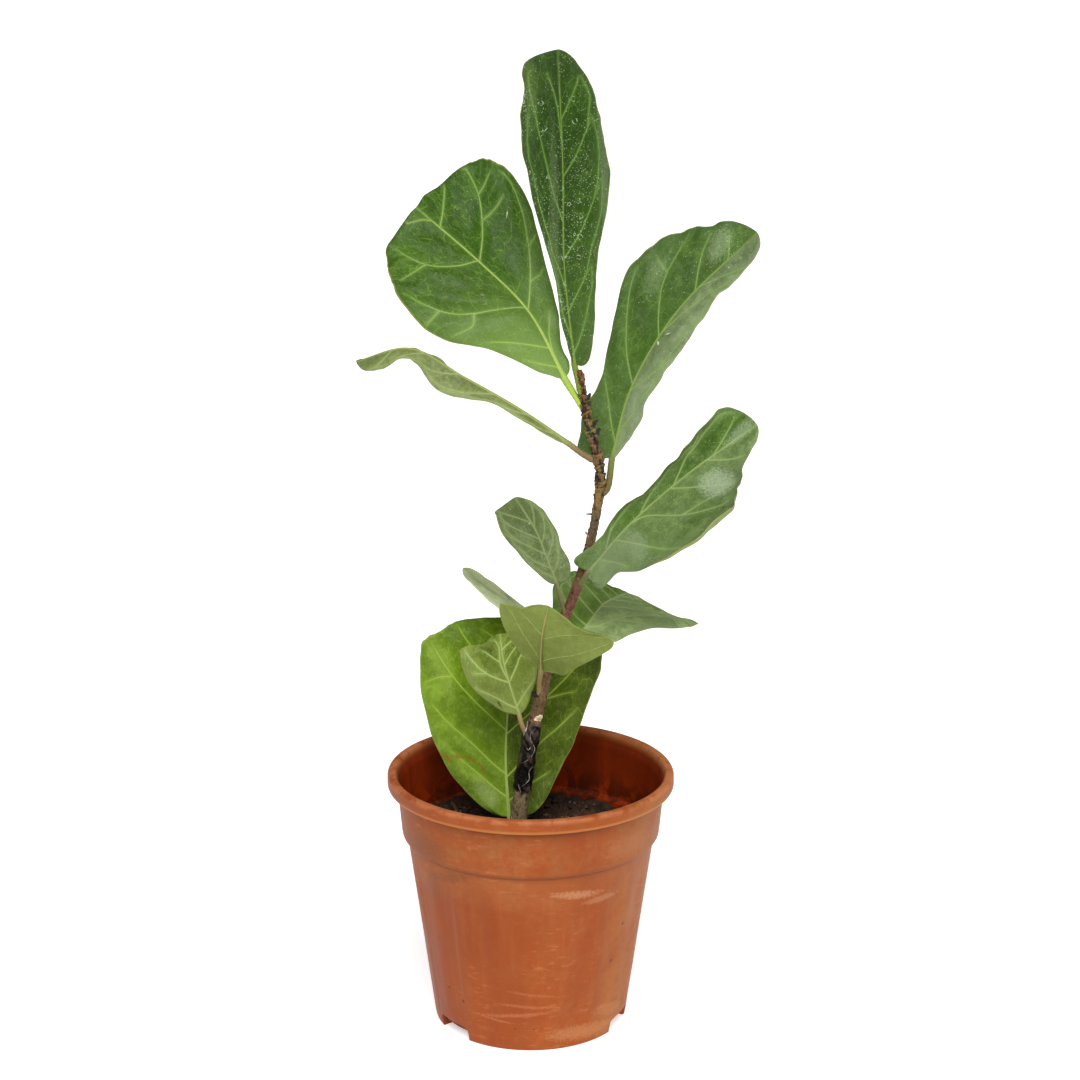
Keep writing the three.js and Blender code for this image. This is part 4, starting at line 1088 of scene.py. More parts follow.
def soil_form():
    """The potting soil: a flat underside, a side along the pot's wall and a top of the lumpy height, with
    smaller lumps and sunken pores from two ripples.
    """
    slope = (SHOULDER_RADIUS - FOOT_RADIUS) / SHOULDER_HEIGHT
    turns = np.linspace(0, 2 * math.pi, SOIL_SIDES, endpoint=False)
    low = CHANNEL_HEIGHT + WALL + 1

    def wall(height):
        return FOOT_RADIUS + slope * height - WALL - GAP

    outline = [(2, low), (30, low), (wall(low), low), (wall(60), 60), (wall(108), 108)]
    rings = [ring(radius, height, turns) for radius, height in outline]
    edge = wall(SOIL_LEVEL) - 0.3
    for share in np.linspace(0, 1, SOIL_RINGS)[:-1]:
        flat = ring(edge * (1 - share) + 0.05, 0, turns)[:, :2]
        x, y = flat.T
        rough = 0.9 * ripple(flat, 3, 16, 5) + 0.7 * ripple(flat, 4, 6, 2.2)
        rough = np.where(rough > 0, rough, 1.5 * rough)
        rings.append(np.column_stack([flat, soil_top(x, y) + rough * smooth(share * 30)]))
    return closed_form(np.array(rings))


def crumb_forms(count, sizes, seed):
    """Crumbs of peat and bark: small spheres on a coarse grid, each squashed, turned and dented by seeded
    draws, half sunk in the soil's top.
    """
    draw = np.random.default_rng(seed)
    rows, columns = 5, 7
    rise = np.linspace(0, math.pi, rows + 2)[1:-1][::-1]
    turn = np.linspace(0, 2 * math.pi, columns, endpoint=False)
    ball = np.stack([
        np.sin(rise)[:, None] * np.cos(turn), np.sin(rise)[:, None] * np.sin(turn),
        np.repeat(np.cos(rise)[:, None], columns, 1),
    ], -1)
    size = sizes[0] + (sizes[1] - sizes[0]) * draw.random(count) ** 3
    dents = 1 + 0.28 * draw.normal(size=(count, rows, columns, 1)).clip(-1.6, 1.6)
    long = np.where(draw.random(count) < 0.25, 1.9, 1.15)
    stretch = np.stack([long, 0.55 + 0.45 * draw.random(count), 0.4 + 0.4 * draw.random(count)], -1)
    balls = ball * dents * stretch[:, None, None] * size[:, None, None, None]
    lean, spin = (draw.random(count) - 0.5) * 1.2, draw.random(count) * 2 * math.pi
    x, z = turned(balls[..., 0], balls[..., 2], lean[:, None, None])
    x, y = turned(x, balls[..., 1], spin[:, None, None])
    reach = CRUMB_REACH * np.sqrt(draw.random(count))
    angle = draw.random(count) * 2 * math.pi
    px, py = reach * np.cos(angle), reach * np.sin(angle)
    middle = np.stack([px, py, soil_top(px, py) + 0.35 * size], -1)
    balls = np.stack([x, y, z], -1) + middle[:, None, None]
    tone = draw.random(count)
    return joined([closed_form(rings, tone=np.full((1, 1), own)) for rings, own in zip(balls, tone)])


def soil_material(settings, crumbs):
    """Soil in damp and dry clouds, with pale bits in the fill, or for the crumbs each one's own tone."""
    material, wires, shader, place = new_material("crumbs of peat and bark" if crumbs else "potting soil")
    broad = wires.noise(place, 60.0, 6.0, 0.65)
    fine = wires.noise(place, 520.0, 5.0, 0.7)
    bits = wires.group(speck_group(), Place=place, Scale=330.0, Share=0.08)["Specks"]
    soil = wires.mix(wires.step(broad, 0.35, 0.65), tuple(settings.dark_color), tuple(settings.color))
    soil = wires.over(soil, shade(92, 66, 44), wires.step(fine, 0.5, 0.75), 0.5)
    if crumbs:
        tone = wires.value("tone")
        bark = wires.ramp(tone, [
            (0.0, shade(26, 15, 9)), (0.5, shade(52, 32, 20)), (0.8, shade(84, 56, 34)),
            (0.93, shade(120, 92, 62)), (1.0, shade(150, 128, 100)),
        ])
        soil = wires.mix(0.6, soil, bark)
    else:
        soil = wires.over(soil, shade(140, 118, 92), bits, 0.6)
    rough = wires.step(fine, 0.3, 0.7, 0.8, 1.0)
    dress(wires, shader, soil, rough, wires.plus(broad, fine), 0.9, 0.0008, 0.3)
    return material


class FigSoilSettings(bpy.types.PropertyGroup):
    color: FloatVectorProperty(
        name="Colour", description="Colour of the drier soil", subtype="COLOR",
        size=3, min=0, max=1, default=shade(52, 31, 15))
    dark_color: FloatVectorProperty(
        name="Damp colour", description="Colour of the damp soil", subtype="COLOR",
        size=3, min=0, max=1, default=shade(20, 11, 5))
    crumbs: IntProperty(
        name="Crumbs", description="Number of loose crumbs on the soil", min=0, max=2000, default=900)
    crumb_seed: IntProperty(name="Crumb seed", description="Seed of their places and sizes", default=17)


class FIG_OT_soil(bpy.types.Operator):
    """Builds the potting soil that fills the pot"""

    bl_idname = "fig.soil"
    bl_label = "Soil"

    def execute(self, context):
        settings = context.scene.fig_soil
        make_piece("soil_fill", soil_form(), soil_material(settings, False), ["soil"])
        return {"FINISHED"}


class FIG_OT_crumbs(bpy.types.Operator):
    """Scatters crumbs of peat and bark over the soil"""

    bl_idname = "fig.crumbs"
    bl_label = "Soil crumbs"

    def execute(self, context):
        settings = context.scene.fig_soil
        form = crumb_forms(settings.crumbs, CRUMB_SIZES, settings.crumb_seed)
        make_piece("soil_crumbs", form, soil_material(settings, True))
        return {"FINISHED"}


# ================================================================ stem


def stem_radius(t, height):
    """The stem's radius with its swellings at the leaves' feet."""
    knots = [leaf["stalk"][0][2] for leaf in LEAVES]
    swell = sum(np.exp(-(((height - knot) / KNOT_LENGTH) ** 2)) for knot in knots)
    return along_values(STEM[:, 3], t) * (1 + KNOT_SWELL * np.minimum(swell, 1))


def stem_share(height):
    """How far along its curve, from 0 to 1, the stem reaches a height."""
    t = np.linspace(0, 1, 400)
    return np.interp(height, along_curve(STEM[:, :3], t)[:, 2], t)


def stem_place(height, turn, lift):
    """Places on the stem at a height and a turn from +X in degrees, lift mm out of its bark."""
    t = stem_share(height)
    radius = stem_radius(t, np.asarray(height)) + lift
    turn = np.radians(turn)
    out = np.stack([np.cos(turn), np.sin(turn), np.zeros_like(turn)], -1)
    return along_curve(STEM[:, :3], t) + out * radius[..., None], out


def stem_form(ridge_depth):
    """The stem: rings along its curve, whose radius takes upright ridges, slanting rings at the old leaf
    scars, lumps near the top and, low down, the wrinkles of a dry film.

    relief keeps how far a point stands out of the bark around it, for its colour and its painted highlights
    and shade.
    """
    t = np.linspace(0, 1, STEM_ROWS)
    path = along_curve(STEM[:, :3], t)
    height = np.repeat(path[:, 2:], STEM_SIDES, 1)
    turn = np.linspace(0, 2 * math.pi, STEM_SIDES, endpoint=False)
    around = ring(4, height, turn)
    young = smooth((height - YOUNG_FOOT) / 12)
    film = smooth((FILM_TOP - height + 2.5 * ripple(around, 31, 14, 6)) / 2.5)
    film = smooth((height - FILM_FOOT) / 2.5) * film
    ridges = ripple(around * np.array([1, 1, 0.18]), 8, 4.5, 1.3) + 0.7 * ripple(around, 9, 6, 2)
    lumps = ripple(around, 12, 9, 3) * (0.7 * young + 0.25)
    rings = 0
    for k, scar in enumerate(SCAR_HEIGHTS):
        off = height - scar - 0.8 * np.sin(turn + 2.1 * k) - 0.35 * ripple(around, 40 + k, 5, 2)
        rings = rings + np.exp(-((off / 0.55) ** 2)) - 0.8 * np.exp(-(((off - 1.25) / 0.5) ** 2))
    slanted = around * np.array([0.9, 0.9, 0.45]) + height[..., None] * np.array([0.3, 0, 0])
    folds = np.abs(ripple(slanted, 11, 7, 2))
    relief = ridges * (0.55 + 0.5 * young) + 1.6 * lumps + rings * (0.9 + 1.2 * young)
    relief = relief * (1 - 0.8 * film) + film * (3.2 * folds - 0.8)
    depth = ridge_depth / MM
    radius = stem_radius(t, path[:, 2])[:, None] + depth * relief + 0.75 * film - 0.2
    tip = smooth((height - BUD_FOOT) / 4)
    radius = radius * (1 - 0.35 * tip) + 0.25 * tip * ripple(around, 21, 4, 1.5)
    rings = tube_rings(path, radius, STEM_SIDES, np.array([1.0, 0.0, 0.0]))
    return closed_form(rings, relief=relief, film=film)


def scale_form(height, turn, lean, length, width, thickness, tone, seed):
    """A dry scale or stub: a flattened cone that starts under the bark, narrows to a ragged tip and bends
    outwards with the square of its length.
    """
    t = stem_share(height)
    root = along_curve(STEM[:, :3], t)
    s = np.linspace(0, 1, 22)[:, None]
    around = np.linspace(0, 2 * math.pi, 18, endpoint=False)
    taper = 1 - 0.65 * s**1.5
    place = np.stack(np.broadcast_arrays(s * 7, np.cos(around) * 2.5, np.sin(around) * 2.5 + seed), -1)
    ragged = 1 + 0.32 * ripple(place, seed, 4, 1.2)
    end = 1 - 0.2 * smooth((s - 0.8) / 0.2) * (1 + ripple(place, seed + 9, 2.5, 1))
    out = thickness * taper * np.cos(around) * ragged + 0.6 * s**2
    side = width * taper * np.sin(around) * ragged
    up = s * length * end
    x, z = turned(out, up, math.radians(-lean))
    x, y = turned(x + 0.45 * float(along_values(STEM[:, 3], t)), side, math.radians(turn))
    return closed_form(np.stack([x, y, z], -1) + root, tone=np.full((1, 1), tone))


def shred_form(stops, width, seed):
    """A shred of dry film: a narrow, flat band that wanders over the stem through its stops of height,
    turn and lift, with a ragged width and pinched ends.
    """
    stops = np.array(stops, float)
    run = np.linspace(0, 1, SHRED_ROWS)
    height, turn, lift = along_curve(stops, run).T
    path, out = stem_place(height, turn, lift + 0.6)
    wide = width * (np.sin(np.pi * np.clip(run, 0.03, 0.97)) ** 0.5)
    wide = wide * (1 + 0.35 * ripple(np.stack([run * 20, run * 0], -1), seed, 9, 3))
    twist = 0.7 * ripple(np.stack([run * 14, run * 0], -1), seed + 5, 12, 6)
    side = np.cross(out, unit(np.gradient(path, axis=0)))
    upward = out * np.cos(twist)[:, None] + side * np.sin(twist)[:, None]
    return closed_form(tube_rings(path, np.full(SHRED_ROWS, 0.09), 8, upward, wide))


def stem_material(settings):
    """Bark in zones up the stem, with painted shade in its grooves and painted highlights on its ridges,
    and a glossy black film with painted sheen and highlights.
    """
    material, wires, shader, place = new_material("bark of a young fig")
    relief = wires.value("relief")
    film = wires.value("film")
    grain = wires.group(grain_group(), Place=place, Scale=420.0)
    broad = wires.noise(place, 130.0, 5.0, 0.65)
    fine = wires.noise(place, 520.0, 4.0, 0.65)
    z = wires.split(place)[2]
    shifted = wires.plus(z, wires.times(wires.minus(broad, 0.5), 0.012))
    inputs = {"Value": shifted, "From Min": 0.1, "From Max": 0.4}
    level = wires.node("ShaderNodeMapRange", inputs).outputs[0]
    brown, pink = tuple(settings.color), tuple(settings.young_color)
    zones = wires.ramp(level, [
        (0.0, shade(108, 90, 62)), (0.14, shade(124, 106, 78)), (0.28, shade(120, 90, 74)), (0.31, pink),
        (0.37, pink), (0.43, shade(120, 92, 66)), (0.49, shade(122, 72, 58)), (0.55, shade(104, 66, 50)),
        (0.6, brown), (0.7, shade(98, 82, 56)), (0.73, shade(124, 96, 52)), (0.8, shade(110, 84, 46)),
        (0.835, shade(90, 64, 44)), (0.855, shade(110, 78, 62)), (0.87, shade(98, 104, 50)),
        (0.885, shade(94, 74, 34)), (0.92, shade(104, 76, 34)), (0.965, shade(90, 58, 30)),
        (1.0, shade(112, 52, 32)),
    ])
    body = wires.over(zones, shade(138, 112, 68), wires.step(grain["Ridges"], 0.5, 0.7), 0.5)
    for color, *masks in (
        ((80, 80, 52), wires.step(fine, 0.5, 0.68), 0.4),
        # Painted highlights on the ridges and painted shade in the grooves.
        ((148, 118, 72), wires.step(relief, 0.6, 1.9), 0.4),
        ((34, 22, 14), wires.step(relief, -0.1, -1.1), 0.9),
        ((32, 22, 16), grain["Cracks"], 0.6),
    ):
        body = wires.over(body, shade(*color), *masks)
    # Painted sheen on the black film: lighter in patches where the shine noise is high, with painted
    # highlights on its folds' crests and small painted glints.
    shine = wires.noise(place, 300.0, 4.0, 0.6, 1.0)
    tar = wires.mix(wires.step(shine, 0.56, 0.72), shade(10, 8, 6), shade(46, 38, 32))
    tar = wires.over(tar, shade(84, 68, 54), wires.step(relief, 0.7, 1.7), 0.6)
    tar = wires.over(tar, shade(98, 86, 74), wires.step(fine, 0.62, 0.75), 0.5)
    rough = wires.minus(0.82, wires.times(film, 0.42))
    height = wires.plus(grain["Height"], fine)
    dress(wires, shader, wires.mix(film, body, tar), rough, height, 0.8, 0.0005, 0.28)
    return material


def scale_material():
    """Dry scales: dark brown, tan or, where the tone is high, cream."""
    material, wires, shader, place = new_material("dry bud scale")
    tone = wires.value("tone")
    grain = wires.group(grain_group(), Place=place, Scale=700.0)
    broad = wires.noise(place, 240.0, 4.0)
    dark = wires.ramp(tone, [(0.0, shade(30, 20, 14)), (0.4, shade(70, 42, 26)), (0.7, shade(150, 112, 80)),
                             (1.0, shade(204, 184, 140))])
    light = wires.tinted(dark, 1.7, 0.9)
    color = wires.mix(wires.step(broad, 0.42, 0.62), dark, light)
    color = wires.over(color, shade(24, 16, 12), grain["Cracks"], 0.6)
    dress(wires, shader, color, wires.step(broad, 0.3, 0.7, 0.7, 0.95), grain["Height"], 0.7, 0.0004)
    return material


def shred_material():
    """Thin dry film: greyish white with brown stains."""
    material, wires, shader, place = new_material("dry film")
    stain = wires.noise(place, 420.0, 4.0, 0.6)
    color = wires.ramp(stain, [(0.34, shade(70, 62, 56)), (0.5, shade(138, 130, 120)),
                               (0.66, shade(192, 186, 176))])
    dress(wires, shader, color, wires.step(stain, 0.3, 0.7, 0.4, 0.6), stain, 0.4, 0.0003)
    return material


class FigStemSettings(bpy.types.PropertyGroup):
    color: FloatVectorProperty(
        name="Bark colour", description="Colour of the middle stretch's bark", subtype="COLOR",
        size=3, min=0, max=1, default=shade(106, 80, 50))
    young_color: FloatVectorProperty(
        name="Pinkish colour", description="Colour of the smoother, pinkish bark", subtype="COLOR",
        size=3, min=0, max=1, default=shade(106, 80, 54))
    ridge_depth: FloatProperty(
        name="Ridge depth", description="Depth of the bark's ridges", unit="LENGTH",
        min=0, max=0.001, default=0.0003, precision=5)


class FIG_OT_stem(bpy.types.Operator):
    """Builds the woody stem"""

    bl_idname = "fig.stem"
    bl_label = "Stem"

    def execute(self, context):
        settings = context.scene.fig_stem
        make_piece("stem_bark", stem_form(settings.ridge_depth), stem_material(settings), ["stem"])
        return {"FINISHED"}


class FIG_OT_scales(bpy.types.Operator):
    """Adds the dry bud scales, stubs and scars that stand out of the stem"""

    bl_idname = "fig.scales"
    bl_label = "Stem scales"

    def execute(self, context):
        forms = [scale_form(*scale, seed) for seed, scale in enumerate(STEM_SCALES)]
        make_piece("stem_scales", joined(forms), scale_material())
        return {"FINISHED"}


class FIG_OT_shreds(bpy.types.Operator):
    """Adds the pale shreds of film and the fibres at the soil"""

    bl_idname = "fig.shreds"
    bl_label = "Film shreds"

    def execute(self, context):
        forms = [shred_form(stops, width, seed) for seed, (stops, width) in enumerate(FILM_SHREDS)]
        make_piece("stem_film_shreds", joined(forms), shred_material())
        return {"FINISHED"}


# ================================================================ leaves


def share_of(u):
    """The share of the midrib's length where the row at u leaves it."""
    return (1 - np.cos(np.pi * np.asarray(u))) / 2


def ends(u):
    """Falls from 1 at the middle row to 0 at foot and tip, as the root of a sine."""
    return np.sqrt(np.maximum(np.sin(np.pi * u), 0))


def row_at(share):
    """The u of the row that leaves the midrib at a share of its length."""
    return np.arccos(1 - 2 * share) / np.pi


class Blade:
    """One leaf's blade: its middle surface, its veins and the fine shape between them.

    A place on it is given by u, from foot to tip, and q, from -1 at the left margin to 1 at the right. The
    row at u leaves the midrib at a share of (1 - cos(pi u)) / 2 of its length.
    """

    def __init__(self, leaf, seed, quilting):
        self.leaf = leaf
        self.seed = seed
        self.quilt = leaf["quilt"] * quilting
        line = along_curve(leaf["midrib"], np.linspace(0, 1, 61))
        self.length = np.linalg.norm(np.diff(line, axis=0), axis=1).sum()
        self.veins = [self.vein(stops, side) for side in (-1, 1)
                      for stops in vein_stops(leaf["veins"][side > 0])]
        self.vein_places = [self.flat(u, q) for u, q in self.veins]
        self.vein_places.append(self.flat(np.linspace(0, 1, 160), np.zeros(160)))

    def vein(self, stops, side):
        """A lateral vein as places on the blade, on a smooth curve through its stops, at side -1 or 1."""
        stops = np.array(stops)
        share, away = along_curve(stops, np.linspace(0, 1, 14 * len(stops))).T
        u = row_at(np.clip(share, 0.002, 0.995))
        return u, np.clip(away, 0, 0.97) * side

    def half_width(self, u, q):
        """The half width at a place, with a slow unevenness that differs from left to right."""
        right = np.asarray(q) > 0
        width = np.where(right, along_values(self.leaf["right"], u), along_values(self.leaf["left"], u))
        run = np.stack([share_of(u) * self.length, np.where(right, 70.0, 0.0)], -1)
        return width + self.leaf["ragged"] * ripple(run, self.seed + 70, 24, 6) * np.minimum(width / 10, 1)

    def flat(self, u, q):
        """Where a place lies on the blade pressed flat, in mm along and across the midrib."""
        return np.stack([share_of(u) * self.length, self.half_width(u, q) * q], -1)

    def surface(self, u, q):
        """The middle surface, and the upward direction at the midrib.

        A row sweeps forward with its distance from the midrib, or back at the ears. A point on it is offset
        across the midrib by its share of the half width, raised by fold, curl and roll, and moved upward by
        the margin's wave.
        """
        leaf, away, right = self.leaf, np.abs(q), (q > 0).astype(int)
        width = self.half_width(u, q)
        share = share_of(u)
        sweep = leaf["ears"] * (1 - share) ** 4 + VEIN_SWEEP * np.sin(np.pi * share)
        t = share + width * away * sweep / self.length
        along = unit(along_curve(leaf["midrib"], t + 1e-3) - along_curve(leaf["midrib"], t - 1e-3))
        foot, tip = np.array(leaf["looks"], float)
        up = foot + (tip - foot) * smooth(t)[..., None]
        up = unit(up - (up * along).sum(-1, keepdims=True) * along)
        curl = np.radians(np.array(leaf["curl"]))[right] * away
        roll = np.radians(np.array(leaf["roll"]))[right] * 4 * share * (1 - share) * away**3
        rise = np.radians(np.array(leaf["fold"]))[right] + curl / 2 + roll / 4
        wave = leaf["wave"] * away**1.5 * np.minimum(1, width / 12) * ends(u)
        phase = math.radians(leaf["start"]) + right * SIDE_SHIFT
        wave = wave * np.sin(2 * np.pi * leaf["waves"] * u + phase)
        place = (
            along_curve(leaf["midrib"], t)
            + np.cross(along, up) * (width * q * np.cos(rise))[..., None]
            + up * (width * away * np.sin(rise) + wave)[..., None]
        )
        return place, up

    def reach(self, flat):
        """How far each place on the flat blade is from the nearest vein, in mm."""
        points = flat.reshape(-1, 2)
        nearest = np.full(len(points), 1e3)
        for line in self.vein_places:
            away = points[:, None] - line
            nearest = np.minimum(nearest, np.sqrt((away**2).sum(-1).min(1)))
        return nearest.reshape(flat.shape[:-1])

    def skin(self, u, q):
        """The blade's finished middle surface and its normal, with the distance from the nearest vein.

        Between the veins the surface bulges by 1 - exp(-(distance / BULGE_REACH)^2), more here and less
        there, and two ripples, a small one everywhere and a broad one at the margin, make it uneven.
        """
        place, _ = self.surface(u, q)
        step_u, step_q = 2e-3, 1e-2
        low_u, high_u = np.clip(u - step_u, 0.001, 0.999), np.clip(u + step_u, 0.001, 0.999)
        along = self.surface(high_u, q)[0] - self.surface(low_u, q)[0]
        inner, outer = np.clip(q - step_q, -1, 1), np.clip(q + step_q, -1, 1)
        across = self.surface(u, outer)[0] - self.surface(u, inner)[0]
        normal = unit(np.cross(across, along))
        flat = self.flat(u, q)
        away = np.abs(q)
        reach = self.reach(flat)
        inside = 0.12 + 0.88 * smooth((1 - away) * 3.4)
        bulge = (1 - np.exp(-((reach / BULGE_REACH) ** 2))) * inside
        bulge = bulge * (0.8 + 0.7 * ripple(flat, self.seed, 60, 22))
        uneven = 0.12 * ripple(flat, self.seed + 50, 12, 5) * (1 - np.exp(-((reach / 2.5) ** 2)))
        margin = self.leaf["flutter"] * ripple(flat, self.seed + 90, 30, 9) * smooth((away - 0.4) / 0.6)
        margin = margin * ends(u)
        lift = self.quilt * bulge + uneven * inside + margin
        return place + normal * lift[..., None], normal, flat, reach


def vein_stops(veins):
    """The lateral veins of one side, with the loops that join each to the next near the margin.

    Each vein is a list of (share of the midrib, part of the way to the margin). A loop leaves a vein at
    LOOP_START of the way, and meets the next at LOOP_END. A side whose list has forks gets no loops.
    """
    whole = [stops for stops in veins if stops[0][1] == 0]
    if len(whole) < len(veins):
        return veins
    loops = []
    for stops, after in zip(whole[:-1], whole[1:]):
        start = np.array([np.interp(LOOP_START, [p[1] for p in stops], [p[0] for p in stops]), LOOP_START])
        end = np.array([np.interp(LOOP_END, [p[1] for p in after], [p[0] for p in after]), LOOP_END])
        middle = start * 0.45 + end * 0.55 + np.array([0, 0.11])
        if end[0] > start[0] + 0.03:
            loops.append([tuple(start), tuple(middle), tuple(end)])
    return veins + loops


def tube_values(form, **values):
    """Gives every point of a form the same values."""
    for name, value in values.items():
        form.values[name] = np.full(len(form.points), float(value))
    return form


def leaf_blade(blade, half):
    """The blade as rings round its cross-sections: the upper face from left to right, the lower face back.

    The margin is thin and rounded: the half thickness falls to a third over its last twentieth.
    """
    out = np.linspace(0, 1, BLADE_COLUMNS)
    away = np.concatenate([out**1.15 * 0.985, [0.994, 1.0]])
    q = np.concatenate([-away[:0:-1], away])
    u = np.concatenate([[0.004], np.linspace(0, 1, BLADE_ROWS + 1)[1:-1], [0.997]])
    uu, qq = np.meshgrid(u, q, indexing="ij")
    place, normal, flat, reach = blade.skin(uu, qq)
    far = np.abs(qq)
    half = half * (1 - 0.65 * smooth((far - 0.95) / 0.05))[..., None]
    rings = np.concatenate([place + normal * half, (place - normal * half)[:, ::-1]], 1)

    def both(values):
        return np.concatenate([values, values[:, ::-1]], 1)

    return closed_form(
        rings, under=np.concatenate([np.zeros_like(far), np.ones_like(far)], 1), reach=both(reach),
        x=both(flat[..., 0]), y=both(flat[..., 1]), share=both(flat[..., 0] / blade.length),
        across=both(qq), rib=np.zeros((1, 1)), vein=np.zeros((1, 1)))


def leaf_veins(blade, half, width):
    """The lateral veins: flattened tubes in the blade, proud of both faces and more so below.

    Each thins along its length from 1 to 0.45 of the width where it starts, and sinks at its end.
    """
    forms = []
    for u, q in blade.veins:
        place, normal, flat, _ = blade.skin(u, q)
        run = np.linspace(0, 1, len(u))
        start = width * (0.75 + 0.25 * (abs(q[0]) < 0.01)) * blade.leaf["vein"]
        wide = start * (1 - 0.55 * run) * (1 - smooth((run - 0.93) / 0.07) * 0.6)
        tall = half + 0.2 - 0.24 * smooth((run - 0.88) / 0.12)
        rings = tube_rings(place - normal * 0.08, tall, VEIN_SIDES, normal, wide)
        form = closed_form(rings, x=flat[:, :1], y=flat[:, 1:], share=flat[:, :1] / blade.length)
        forms.append(tube_values(form, under=0.5, reach=0, across=0.5, rib=0, vein=1))
    return forms


def leaf_stalk(blade, half):
    """The stalk, and the midrib that it runs on as: a tube that thins towards the tip, and is flattened
    in the blade so that its top lies just above the upper face.
    """
    leaf = blade.leaf
    share = np.linspace(0, 0.97, STALK_ROWS)
    u = row_at(share)
    place, _, _, _ = blade.skin(np.clip(u, 0.003, 1), np.zeros_like(u))
    _, up = blade.surface(u, np.zeros_like(u))
    tall = leaf["stalk_radius"] + (RIB_TIP_RADIUS - leaf["stalk_radius"]) * share
    tip = smooth((share - 0.85) / 0.12)
    near_foot = np.exp(-share / FOOT_FADE)
    wide = RIB_HALF + (leaf["stalk_radius"] * leaf["rib"] - RIB_HALF) * np.exp(-share / RIB_TAPER)
    wide = wide + (leaf["stalk_radius"] - wide) * near_foot
    wide = wide * (1 - 0.6 * tip)
    sunk = tall - half - 0.13 - 0.22 * (tall - RIB_TIP_RADIUS)
    sunk = sunk + (RIB_SINK * leaf["stalk_radius"] - sunk) * near_foot
    rib = place - up * (sunk + 0.1 * tip)[:, None]
    knee = np.vstack([leaf["stalk"], rib[0], rib[8]])
    steps = np.linspace(0, 2 / 3, 30)[:-1]
    path = np.vstack([along_curve(knee, steps), rib])
    foot = leaf["stalk_radius"] * (leaf["slim"] + (1 - leaf["slim"]) * smooth(steps * 1.5))
    foot = foot * (1 + 0.15 * np.exp(-(((steps - 0.12) / 0.06) ** 2)) + 0.04 * np.sin(steps * 70))
    upward = np.vstack([np.broadcast_to(up[0], (len(steps), 3)), up])
    tall, wide = np.concatenate([foot, tall]), np.concatenate([foot, wide])
    rings = tube_rings(path, tall, STALK_SIDES, upward, wide)
    run = np.concatenate([np.zeros(len(steps)), share])[:, None]
    stalk = np.concatenate([1 - steps * 0.6, 0.6 * np.exp(-share / 0.12)])[:, None]
    along = np.concatenate([steps * 20, share * blade.length])[:, None]
    form = closed_form(rings, share=run, rib=0.001 + stalk, x=along)
    return tube_values(form, under=0.5, reach=0, across=0, y=0, vein=1)


